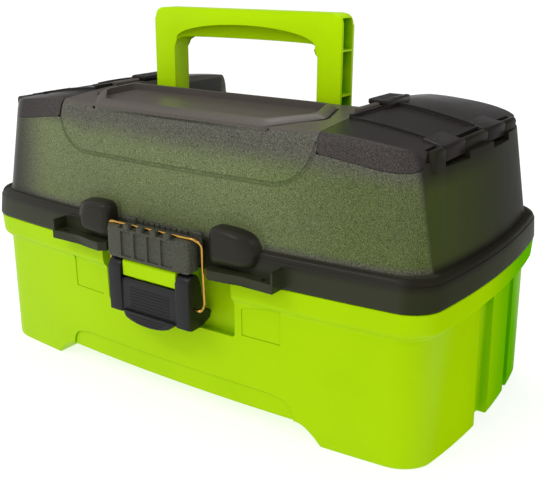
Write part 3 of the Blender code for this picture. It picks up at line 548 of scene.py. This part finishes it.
LIME = lime_look("lime_plastic_look", 1.0)
# the handle's lime is a copy painted 1.22 times brighter, painted light on the handle
GRIP_LIT = lime_look("lime_handle_lit_look", 1.22)
SMOKE = smoke_look("smoke_plastic_look", (0.016, 0.015, 0.010), (0.092, 0.090, 0.070), True)
BLOCK = smoke_look("smoke_block_look", (0.055, 0.054, 0.040), (0.060, 0.061, 0.044))
DOOR = smoke_look("dark_smoke_look", (0.018, 0.015, 0.014), (0.048, 0.041, 0.038))
BLACK = black_look()
BRASS = brass_look()
STEEL = steel_look()
DIVIDER = divider_look()


# ---- the tub ----
def skin_pocket(points, depth, side=-1):
    """A cutter that takes a thin layer off the tub's front or back wall inside an outline."""
    prism = slab(points, "Y", *span(side, 0.085, 0.135))
    return combine(prism, ("-", shell(TUB_WALL, depth)))


def knuckle(x0, x1, up):
    """A lid hinge knuckle and the web that carries it, above (1) or below (-1) its pin."""
    web = [(y, HINGE_Z + up * rise) for y, rise in (
        (0.1080, 0.0012), (0.1080, 0.0110), (0.1115, 0.0110), (0.1186, 0.0085),
        (0.1251, 0.0025), (0.1216, 0.0012))]
    return [("+", slab(web, "X", x0, x1)),
            ("+", cylinder(KNUCKLE, (x0, HINGE_Y, HINGE_Z), (x1, HINGE_Y, HINGE_Z)))]


def tub_end(side):
    """One end of the tub: front panel, foot, end grooves, arm studs and lid hinge."""
    panel = [(0.0660, 0.0690), (0.0965, 0.0690), (0.0965, 0.0955), (0.0660, 0.0890)]
    steps = [("-", skin_pocket(mirrored(panel, side), 0.0004)),
             ("-", sided(side, 0.132, 0.187, -0.088, 0.088, 0.0035, 0.019, 0.003, 2))]
    for y0, y1 in GROOVES:
        steps.append(("-", sided(side, GROOVE_FLOOR, 0.23, y0, y1, -0.01, 0.093, 0.0012, 2)))
    for y in STUD_YS:
        steps.append(("+", bar(side, 0.1790, GROOVE_FLOOR - 0.001, y, STUD_Z, 0.003, 20)))
    for inner, outer in ((-0.017, -KNUCKLE_HALF - GAP), (KNUCKLE_HALF + GAP, 0.017)):
        steps += knuckle(*span(side, HINGE_X + inner, HINGE_X + outer), -1)
    steps.append(("-", bar(side, HINGE_X - 0.02, HINGE_X + 0.02, HINGE_Y, HINGE_Z, PIN_BORE, 16)))
    return steps


def make_tub():
    """The lime tub: shell, latch recess, feet, ends and the lug for the latch pin."""
    bumps = [("-", box((-RECESS_HALF - WALL, -0.13, RECESS_FLOOR - WALL),
                       (RECESS_HALF + WALL, RECESS_FACE + WALL, 0.13)))]
    for side in (-1, 1):
        for y0, y1 in GROOVES:
            bumps.append(("-", sided(side, GROOVE_FLOOR - WALL, 0.21, y0 - WALL, y1 + WALL, 0.0,
                                     0.096)))
    # the arch between the feet, and the fainter swoop over it
    arch = rounded(symmetric([(0.1300, -0.002), (0.1235, 0.0060), (0.113, 0.0145)]), 0.006, 5)
    swoop = rounded(symmetric([(0.1080, 0.010), (0.1040, 0.0270), (0.0880, 0.0305)]), 0.012, 6)
    steps = [("-", combine(shell(TUB_IN, rounding=0.004), *bumps)),
             ("-", box((-RECESS_HALF, -0.135, RECESS_FLOOR), (RECESS_HALF, RECESS_FACE, 0.13),
                       0.0025)),
             ("-", slab(arch, "Y", -0.14, 0.14)),
             ("-", skin_pocket(swoop, 0.0013, -1)),
             ("-", skin_pocket(swoop, 0.0013, 1)),
             *tub_end(-1), *tub_end(1)]
    root = RECESS_FACE + 0.001
    lug = [(root, 0.0960), (-0.1240, 0.0990), (-0.1292, 0.0996), (-0.1300, 0.1004),
           (-0.1300, 0.1105), (-0.1288, 0.1117), (root, 0.1117)]
    steps.append(("+", slab(lug, "X", -0.0246, 0.0246)))
    steps.append(("-", cylinder(LEVER_BORE, (-0.03, LEVER_Y, LEVER_Z), (0.03, LEVER_Y, LEVER_Z))))
    tub = combine(shell(TUB_OUT, rounding=0.0028), *steps)
    show("tub_visual", tub, "base", LIME, ["base_tub"])


# ---- the lid ----
def boss(side):
    """Rounded boss beside the latch, high near it and sloping away."""
    near, front, back = 0.0455, -0.1226, 0.0246
    edge = rounded([(near, 0.1196), (near, 0.1472), (0.0625, 0.1468), (0.0725, 0.1440),
                    (0.0765, 0.1340), (0.0755, 0.1220)], 0.007, 6, closed=True)
    centre_x, centre_z, half_x, half_z, radius = 0.0610, 0.1334, 0.0155, 0.0138, 0.0058
    turns = [math.pi / 2 * i / 6 for i in range(7)]
    rounds = [(radius * (1 - math.cos(t)), radius * (1 - math.sin(t))) for t in turns]
    rings = []
    for inset, depth in [(0.0, back), *rounds]:
        wide, tall = 1 - inset / half_x, 1 - inset / half_z
        lean = 1 + 28.0 * min(depth, 0.0125)     # the outer end runs back to the wall
        rings.append([(side * (near + (centre_x - near + (x - centre_x) * wide) * lean),
                       front + depth, centre_z + (z - centre_z) * tall) for x, z in edge])
    return loft(rings)


def ear(side):
    """The pad under the boss and the square padlock ear beside it."""
    root, hole_x, hole_y = -0.104, side * 0.0915, -0.1198
    plan = [(0.0460, root), (0.0460, -0.1240), (0.0510, -0.1282), (0.0620, -0.1266),
            (0.0746, -0.1240), (0.0876, -0.1248), (0.1013, -0.1257), (0.1013, root)]
    rail = [(0.0996, root), (0.0996, -0.1254), (0.1012, -0.1254), (0.1012, root)]
    return [("+", slab(mirrored(plan, side), "Z", 0.1120, 0.1186, 0.0005, 1)),
            ("+", slab(mirrored(rail, side), "Z", 0.1122, 0.1270, 0.0004, 1)),
            ("-", cylinder(0.0024, (hole_x, hole_y, 0.105), (hole_x, hole_y, 0.13), 20))]


def barrel(side, radius, inner, foot):
    """Section of a door hinge piece: round inside, squarer on top, straight down outside."""
    soft = 0.0024
    top = arc((DOOR_X, DOOR_Z), radius, 180, 90, 7)
    top += arc((HINGE_FACE - soft, DOOR_Z + radius - soft), soft, 90, 0, 5)
    return mirrored([(DOOR_X - inner, foot), *top, (HINGE_FACE, foot)], side)


def door_axle(side, radius, inset, segments):
    """A round bar along a door's hinge, short of its outer lugs' ends by inset."""
    return cylinder(radius, (side * DOOR_X, LUGS[0][0] + inset, DOOR_Z),
                    (side * DOOR_X, LUGS[-1][1] - inset, DOOR_Z), segments)


def door_cut(side, grow=0.0):
    """The outline of a door's front and back skirts, seen from the front."""
    inner, outer, top = DOOR_INNER - grow, DOOR_CORNER + grow, 0.245
    edge = [(inner, 0.2005 - grow), (0.1230, 0.1998 - grow), (0.1400, 0.1975 - grow),
            (0.1580, 0.1948 - grow), (0.1700, 0.1945 - grow), (outer, 0.1950 - grow),
            (outer, top), (inner, top)]
    return mirrored(rounded(edge, 0.006, 4, closed=True), side)


def door_opening(side):
    """A door's well, its seat and skirts cut into the lid, and the lid's hinge lugs."""
    well = combine(sided(side, WELL_IN, WELL_OUT, -0.12, 0.12, WELL_FLOOR, 0.23, 0.003),
                   ("&", shell(WALL_SKIN, WALL)))
    steps = [("-", sided(side, DECK_HALF + WALL, 0.1118, -0.092, 0.092, 0.188, 0.2085)),
             ("-", well),
             ("-", sided(side, DOOR_INNER - GAP, DOOR_X, -BEYOND_Y, BEYOND_Y, DOOR_SEAT, ABOVE))]
    for end in (-1, 1):
        skirt = slab(door_cut(side, GAP), "Y", *span(end, 0.084, 0.135))
        steps.append(("-", combine(skirt, ("-", shell(WALL_SKIN, SKIN)))))
    steps.append(("-", sided(side, DOOR_X - 0.0001, 0.22, -BEYOND_Y, BEYOND_Y, DOOR_SEAT, ABOVE)))
    for y0, y1 in STRAPS:
        steps.append(("-", sided(side, DOOR_X - 0.0053, 0.22, y0 - GAP, y1 + GAP, 0.1955, ABOVE)))
    for y0, y1 in LUGS:
        steps.append(("+", slab(barrel(side, 0.0046, 0.0030, 0.1935), "Y", y0, y1, 0.0006, 2)))
    steps.append(("-", door_axle(side, PIN_BORE, GAP, 16)))
    return steps


def handle_mount(side):
    """The ridges beside the handle deck and the lugs that hold one of the handle's legs."""
    ridge = [(0.1095, 0.2140), (0.1095, 0.2198), (0.1105, 0.2208), (0.1132, 0.2208),
             (0.1142, 0.2198), (0.1142, 0.2140)]
    foot = [(HANDLE_Y - 0.0065, DECK_HEIGHT - 0.001), (HANDLE_Y + 0.0065, DECK_HEIGHT - 0.001),
            *arc((HANDLE_Y, HANDLE_Z), 0.0060, 0, 180, 12)]
    steps = []
    for y0, y1 in ((-0.041, -0.0125), (0.0225, 0.036)):
        steps.append(("+", slab(mirrored(ridge, side), "Y", y0, y1, 0.0006, 1)))
    for inner, outer in ((0.0600, 0.0650), (0.0868, 0.0918)):
        steps.append(("+", slab(foot, "X", *span(side, inner, outer))))
    steps.append(("-", bar(side, 0.058, 0.094, HANDLE_Y, HANDLE_Z, HANDLE_BORE, 20)))
    return steps


def hexagon(*half):
    """A soft hexagon from the three corners of its right half."""
    return rounded(symmetric(half), 0.004, 4, closed=True)


def on_rim(points, lift):
    """The outline laid over the sloping front of the roof."""
    return [(x, y, 0.2120 + (y + 0.100) * 0.092 + lift) for x, y in points]


def dish():
    """The framed dish before the handle, with the fine groove round its frame."""
    outer = hexagon((0.0760, -0.0990), (0.1030, -0.066), (0.094, -0.036))
    middle = hexagon((0.0732, -0.0925), (0.0972, -0.066), (0.0905, -0.0395))
    inner = hexagon((0.0724, -0.0902), (0.0950, -0.066), (0.0886, -0.0415))
    rim = loft([[(x, y, 0.2065) for x, y in outer], on_rim(outer, 0.0012), on_rim(middle, 0.0042)])
    bed = loft([on_rim(inner, -0.0006), [(x, y, ABOVE) for x, y in inner]])
    line = rounded(symmetric([(0.0946, -0.0352), (0.1036, -0.0660), (0.0764, -0.0996)]), 0.004, 4)
    groove = [(x, y, roof_height(x, y) - 0.0006 - 0.10 * max(0.0, -0.083 - y)) for x, y in line]
    return [("+", rim), ("-", bed), ("-", tube(groove, 0.0009, 8))]


def apron_line():
    """The groove that hangs like an apron on the lid's front, laid on the bowed wall."""
    half = [(0.1150, 0.2150), (0.1140, 0.2010), (0.1070, 0.1866), (0.0920, 0.1774)]
    path = [Vector(point) for point in rounded(symmetric(half), 0.014, 6)]
    line = []
    for a, b in zip(path, path[1:]):
        count = max(1, round((b - a).length / 0.006))
        for x, z in (a.lerp(b, i / count) for i in range(count)):
            half_x, half_y = row_at(WALL_SKIN, z)
            line.append((x, BOW_FRONT * (x / half_x) ** 2 - half_y, z))
    return tube(line, 0.0016, 10)


def make_lid():
    """The smoke lid: shell, deck, wells, hinge lugs, dish and the front's apron line."""
    steps = [("&", roof())]
    hollow = [("-", box((-0.048, -0.13, 0.10), (0.048, LATCH_FACE + WALL, 0.145)))]
    for side in (-1, 1):
        steps += [*ear(side), ("+", boss(side))]
        hollow.append(("-", sided(side, 0.1125, WELL_OUT + WALL, -0.12, 0.12,
                                  WELL_FLOOR - 0.0035, 0.2)))
    plateau = [(-0.096, 0.185), (-0.026, 0.185), (-0.026, 0.2135), (-0.094, 0.2055)]
    steps += [("-", combine(shell(LID_IN, rounding=0.003), *hollow)),
              ("-", slab(plateau, "X", -0.094, 0.094)),
              ("-", box((-DECK_HALF, DECK_FRONT, DECK_HEIGHT), (DECK_HALF, BEYOND_Y, 0.235), 0.003)),
              ("-", box((-0.045, -0.14, 0.105), (0.045, LATCH_FACE, 0.1405), 0.002))]
    for side in (-1, 1):
        steps += door_opening(side) + handle_mount(side)
        steps += knuckle(*span(side, HINGE_X - KNUCKLE_HALF, HINGE_X + KNUCKLE_HALF), 1)
        steps.append(("-", bar(side, HINGE_X - 0.01, HINGE_X + 0.01, HINGE_Y, HINGE_Z, PIN_BORE,
                               16)))
    lid = combine(shell(LID_OUT, rounding=0.0022), *steps, *dish(), ("-", apron_line()))
    show("lid_visual", lid, "lid", SMOKE, ["lid_shell"])


def make_door_pins():
    """Pins that end inside the visual lugs, which are shorter than the frame's."""
    for side, name in SIDES:
        show(f"door_pin_{name}_visual", door_axle(side, 0.0017, 2 * GAP, 20), "lid", STEEL,
             [f"door_pin_{name}"])


# ---- the doors ----
def door_panels(side):
    """The two sunk panels on a door; the front one is the shallower."""
    bed = [(x, roof_height(x, 0.0) - 0.0011) for x in (0.1195, 0.130, 0.142, 0.154, 0.166, 0.1745)]
    middle = [*bed, (0.1745, 0.23), (0.1195, 0.23)]
    front = [*bed[:-1], (0.1700, roof_height(0.170, 0) - 0.0009), (0.1700, 0.23), (0.1195, 0.23)]
    front = [(x, z + 0.0004) for x, z in front]
    return [("-", slab(mirrored(middle, side), "Y", -0.0540, 0.0018)),
            ("-", slab(mirrored(front, side), "Y", -0.0885, -0.0592))]


def door_beads(side):
    """The two beads across a door, and the edge along its middle panel."""
    stations = [0.1165 + 0.0037 * i for i in range(17)]
    steps = []
    for y in (-0.0565, 0.0045):
        top = [(x, roof_height(x, y) + 0.0015) for x in stations]
        under = [(x, roof_height(x, y) - 0.0016) for x in reversed(stations)]
        steps.append(("+", slab(mirrored(top + under, side), "Y", y - 0.0020, y + 0.0020, 0.0007,
                                2)))
    edge = [(0.1150, 0.2165), (0.1150, roof_height(0.115, 0) + 0.0012),
            (0.1180, roof_height(0.118, 0) + 0.0012), (0.1180, 0.2165)]
    steps.append(("+", slab(mirrored(edge, side), "Y", -0.058, -0.014, 0.0005, 1)))
    return steps


def thumb_tab(side):
    """The tab that lifts a door, with five fine grooves."""
    steps = [("+", sided(side, 0.1040, 0.1195, -0.0115, 0.0215, 0.2190, 0.2228, 0.0012, 3)),
             ("+", sided(side, 0.1155, 0.1205, -0.0115, 0.0215, 0.2160, 0.2222, 0.0008, 2))]
    for i in range(5):
        x = 0.1062 + 0.0021 * i
        steps.append(("-", sided(side, x - 0.0004, x + 0.0004, -0.008, 0.018, 0.2224, 0.2240)))
    return steps


def door_straps(side):
    """The straps over the hinge pin, each with a ridge up to the door's top."""
    ridge = [(0.1700, roof_height(0.170, 0) - 0.002), (0.1700, roof_height(0.170, 0) + 0.0006),
             (DOOR_X - 0.0006, DOOR_Z + 0.0046), (DOOR_X - 0.0006, DOOR_Z - 0.0010)]
    steps = []
    for y0, y1 in STRAPS:
        steps.append(("+", sided(side, DOOR_OUTER - 0.002, DOOR_X, y0, y1, DOOR_SEAT + 0.0010,
                                 DOOR_Z + 0.0040)))
        steps.append(("+", slab(barrel(side, 0.0050, 0.0048, 0.1984), "Y", y0, y1, 0.0006, 2)))
        steps.append(("+", slab(mirrored(ridge, side), "Y", y0 + 0.0002, y1 - 0.0002, 0.0006, 2)))
    bore = cylinder(PIN_BORE, (side * DOOR_X, -0.09, DOOR_Z), (side * DOOR_X, 0.09, DOOR_Z), 16)
    return [*steps, ("-", bore)]


def make_door(side, name):
    """A door in one piece: roof plate, front and back skirts, tab and hinge straps."""
    lining = combine(sided(side, DOOR_INNER + 0.003, DOOR_OUTER - 0.003, -0.12, 0.12, 0.18, ABOVE),
                     ("&", shell(WALL_SKIN, WALL)), ("&", roof(0.003)))
    above_seat = box((-0.3, -0.3, DOOR_SEAT + GAP), (0.3, 0.3, 0.3))
    behind_skirts = combine(shell(WALL_SKIN, 0.0019), ("-", above_seat))
    hinge_room = sided(side, DOOR_OUTER, 0.20, LUGS[0][0] - 0.0005, LUGS[-1][1] + 0.0005, 0.19,
                       ABOVE)
    door = combine(slab(door_cut(side), "Y", -BEYOND_Y, BEYOND_Y),
                   ("&", shell(WALL_SKIN)), ("&", roof()),
                   ("-", behind_skirts), ("-", lining), ("-", hinge_room),
                   *door_panels(side), *door_beads(side), *thumb_tab(side), *door_straps(side))
    show(f"door_{name}_visual", door, f"door_{name}", DOOR, [f"door_{name}"])


# ---- the handle ----
def make_handle():
    """The carry handle, with a scooped grip and legs hollow on their outer side."""
    half, leg, top, depth, toe = 0.0855, 0.0195, 0.2795, 0.017, 0.0083
    inner, under, foot = half - leg, top - 0.022, HANDLE_Z - toe
    shape = rounded([(half, foot), (half, top), (-half, top), (-half, foot), (-inner, foot),
                     (-inner, under), (inner, under), (inner, foot)], 0.0085, 6, closed=True)
    y0, y1 = HANDLE_Y - depth / 2, HANDLE_Y + depth / 2
    scoop = bmesh.new()
    bmesh.ops.create_uvsphere(scoop, u_segments=64, v_segments=32, radius=1.0)
    bmesh.ops.scale(scoop, vec=(0.064, 0.0135, 0.0125), verts=scoop.verts)
    bmesh.ops.translate(scoop, vec=(0.0, y0 - 0.0005, under - 0.0015), verts=scoop.verts)
    steps = [("-", mesh_from(scoop))]
    for side in (-1, 1):
        # the hollow of a leg, with ribs left between
        for low, high in ((0.2125, 0.2222), (0.2235, 0.2535), (0.2548, 0.2762)):
            steps.append(("-", sided(side, inner + 0.0030, half + 0.01, y0 + 0.0022, y1 - 0.0022,
                                     low, high, 0.0007, 2)))
        steps.append(("-", bar(side, 0.05, 0.1, HANDLE_Y, HANDLE_Z, HANDLE_BORE, 20)))
        around_toe = sided(side, 0.05, 0.1, HANDLE_Y - 0.02, HANDLE_Y + 0.02, HANDLE_Z - 0.02,
                           HANDLE_Z)
        round_toe = bar(side, 0.04, 0.11, HANDLE_Y, HANDLE_Z, toe, 40)
        steps.append(("-", combine(around_toe, ("-", round_toe))))
    handle = combine(slab(shape, "Y", y0, y1, 0.0016, 3), *steps)
    show("handle_visual", handle, "handle", GRIP_LIT, ["handle"])


# ---- the latch ----
def make_block():
    """The ribbed block on the lid that the latch wire hooks over."""
    front, tip_back, top = LEVER_FRONT, -0.1276, 0.14
    wall_y = -0.1128
    steps = [("+", box((-0.030, -0.1200, 0.1150), (0.030, wall_y, 0.1345), 0.0006, 1))]
    for x0, x1 in ((-0.0325, -0.0235), (0.0265, 0.0368)):
        steps.append(("+", box((x0, -0.1165, 0.1155), (x1, wall_y, 0.1392), 0.0016, 3)))
    for i in range(9):
        x = -0.0200 + 0.0052 * i
        steps.append(("+", box((x, -0.1150, 0.1300), (x + 0.0022, wall_y, 0.1374), 0.0005, 1)))
    # the groove for the wire's bar, then four panels with the tips that hold the wire
    steps.append(("-", box((-0.0385, -0.1274, BLOCK_TOP - 0.0006), (0.0385, -0.1238, top), 0.0003, 1)))
    steps.append(("-", box((-0.0262, front - 0.001, BLOCK_TOP - 0.0012), (0.0262, -0.1272, top),
                           0.0004, 1)))
    for i in range(4):
        x = (i - 1.5) * 0.0124
        steps.append(("-", box((x - 0.0050, front - 0.01, 0.1152), (x + 0.0050, front + 0.0015, 0.1337),
                               0.0005, 2)))
        steps.append(("+", box((x - 0.0027, front + 0.0003, 0.1342),
                               (x + 0.0027, tip_back, BLOCK_TOP + 0.0026), 0.0008, 2)))
    block = combine(box((-BLOCK_HALF, front, 0.1123), (BLOCK_HALF, -0.1185, BLOCK_TOP), 0.0030, 4),
                    *steps)
    show("catch_block_visual", block, "lid", BLOCK, ["catch_block"])


def make_lever():
    """The latch lever: two cheeks, a ribbed plate between them and a thumb tab."""
    cheek_in, edge_z, tab_half = 0.0255, 0.0722, 0.0235
    cheek = [(LEVER_FRONT, edge_z), (-0.1285, 0.0706), (-0.1185, 0.0706), (-0.1085, 0.0745),
             (-0.1065, 0.0790), (-0.1085, 0.0812), (-0.1165, 0.0832), (-0.1165, 0.0930),
             (LEVER_Y + 0.0065, LEVER_Z - 0.004), *arc((LEVER_Y, LEVER_Z), 0.0065, 0, 180, 14)]
    plate = [(-0.1308, edge_z), (-0.1308, 0.0965), (-0.1296, 0.0982), (-0.1272, 0.0982),
             (-0.1262, edge_z)]
    bulge = arc((0.0, 0.0765), tab_half, 200, 340, 20)
    tab = [(-tab_half, 0.0745), *((x, edge_z + (z - edge_z) * 0.33) for x, z in bulge),
           (tab_half, 0.0745)]
    steps = [("+", slab(cheek, "X", -LEVER_HALF, -cheek_in, 0.0009, 3)),
             ("+", slab(plate, "X", -0.0262, 0.0262)),
             ("+", slab(tab, "Y", -0.1334, -0.1268, 0.0008, 3))]
    for i in range(7):
        z = 0.0775 + 0.0023 * i
        steps.append(("+", box((-0.0185, -0.1313, z), (0.0185, -0.1300, z + 0.0009), 0.0003, 1)))
    for i in range(3):
        z = 0.0676 + 0.0019 * i
        half = 0.011 + 0.003 * i
        steps.append(("-", box((-half, -0.1340, z), (half, -0.1330, z + 0.0008))))
    steps.append(("-", cylinder(LEVER_BORE, (-0.0366, LEVER_Y, LEVER_Z), (0.0366, LEVER_Y, LEVER_Z))))
    for side in (-1, 1):
        steps.append(("-", bar(side, 0.0330, 0.0400, WIRE_Y, WIRE_Z, 0.0015, 16)))
    lever = combine(slab(cheek, "X", cheek_in, LEVER_HALF, 0.0009, 3), *steps)
    show("latch_lever_visual", lever, "lever", BLACK, ["latch_lever"])


def make_wire():
    """The bent wire from the lever's cheeks, up beside the block and over it."""
    half, leg_y, bar_y, bar_z = 0.0428, -0.1228, -0.1262, BLOCK_TOP + 0.0006
    right = [(0.0345, WIRE_Y, WIRE_Z), (half, WIRE_Y, WIRE_Z), (half, -0.1215, WIRE_Z + 0.0030),
             (half, leg_y, 0.1180), (half - 0.0004, leg_y, 0.1335), (0.0385, bar_y, bar_z + 0.0004),
             (0.0320, bar_y, bar_z)]
    left = [(-x, y, z) for x, y, z in right]
    wire = tube(route(left + right[::-1], 0.0050, 6), WIRE, 14)
    show("bail_wire_visual", wire, "bail", BRASS, ["bail_wire"], angle=60)


make_tub()
make_lid()
make_door_pins()
for side_sign, side_name in SIDES:
    make_door(side_sign, side_name)
make_handle()
make_block()
make_lever()
make_wire()

# ---- CAD nodes that stay: pins, trays, arms, clips and dividers ----
SLOTS = {entry["node"]: entry["material_slot"] for entry in frame["record"]["subparts"]}
KEPT = {"lime_plastic": LIME, "steel": STEEL, "divider_plastic": DIVIDER, "smoke_plastic": BLOCK,
        "dark_smoke_plastic": DOOR, "black_plastic": BLACK, "brass_wire": BRASS}
for node, item in frame["nodes"].items():
    item.data.materials.clear()
    item.data.materials.append(KEPT[SLOTS[node]])

# ---- stage, light and camera ----
REACH = 20.0
corners = [(-REACH, -REACH), (REACH, -REACH), (REACH, REACH), (-REACH, REACH)]
floor = bpy.data.objects.new("floor", slab(corners, "Z", -0.01, 0.0))
floor.data.materials.append(floor_look())
bpy.context.scene.collection.objects.link(floor)


def look_at(item, place, target):
    """Puts a lamp or camera in place, facing its target."""
    item.location = place
    item.rotation_mode = "QUATERNION"
    item.rotation_quaternion = (Vector(place) - Vector(target)).to_track_quat("Z", "Y")
    bpy.context.scene.collection.objects.link(item)


def lamp(name, place, target, size, power):
    light = bpy.data.lights.new(name, "AREA")
    light.shape = "RECTANGLE"
    light.size, light.size_y = size
    light.energy = power
    look_at(bpy.data.objects.new(name, light), place, target)


lamp("key", (-0.5, -1.4, 1.5), (0, 0, 0.12), (0.9, 0.14), 6.5)
lamp("top", (-0.3, 0.9, 1.7), (0, 0, 0.15), (1.3, 0.16), 8.0)
lamp("end", (1.5, -0.2, 1.1), (0.1, 0, 0.12), (0.12, 0.8), 3.0)
world = bpy.data.worlds.new("studio")
bpy.context.scene.world = world
world.use_nodes = True
sky = world.node_tree.nodes


def wired(kind, value, **settings):
    """A node of the sky fed by one value."""
    made = sky.new(kind)
    for key, number in settings.items():
        made.inputs[key.replace("_", " ")].default_value = number
    world.node_tree.links.new(value, made.inputs[0])
    return made


def product(a, b):
    """Two of the sky's values multiplied."""
    made = wired("ShaderNodeMath", a)
    made.operation = "MULTIPLY"
    world.node_tree.links.new(b, made.inputs[1])
    return made.outputs[0]


way = wired("ShaderNodeSeparateXYZ", sky.new("ShaderNodeTexCoord").outputs["Generated"])
# bright in front and on the left, dim behind and past the right end, white at the horizon
behind = wired("ShaderNodeMapRange", way.outputs["Y"], From_Min=-0.1, From_Max=0.6).outputs[0]
raised = wired("ShaderNodeMapRange", way.outputs["Z"], From_Min=0.04, From_Max=0.16).outputs[0]
under = wired("ShaderNodeMapRange", way.outputs["Z"], From_Min=0.85, From_Max=0.55).outputs[0]
dark = product(product(behind, raised), under)
back = wired("ShaderNodeMapRange", dark, To_Min=1.0, To_Max=0.12).outputs[0]
right = wired("ShaderNodeMapRange", way.outputs["X"], To_Min=1.0, To_Max=0.45).outputs[0]
sky["Background"].inputs["Color"].default_value = (1.0, 1.0, 1.0, 1.0)
world.node_tree.links.new(product(back, right), sky["Background"].inputs["Strength"])
bpy.context.scene.view_settings.view_transform = "Standard"

camera = bpy.data.objects.new("camera", bpy.data.cameras.new("camera"))
camera.data.sensor_width = 36.0
camera.data.lens = 55.37
camera.data.shift_x = 0.0292
camera.data.shift_y = -0.0095
look_at(camera, Vector((0.37618, -0.53386, 0.31235)) + SHIFT, Vector((0.0, 0.0, 0.100)) + SHIFT)
bpy.context.scene.camera = camera
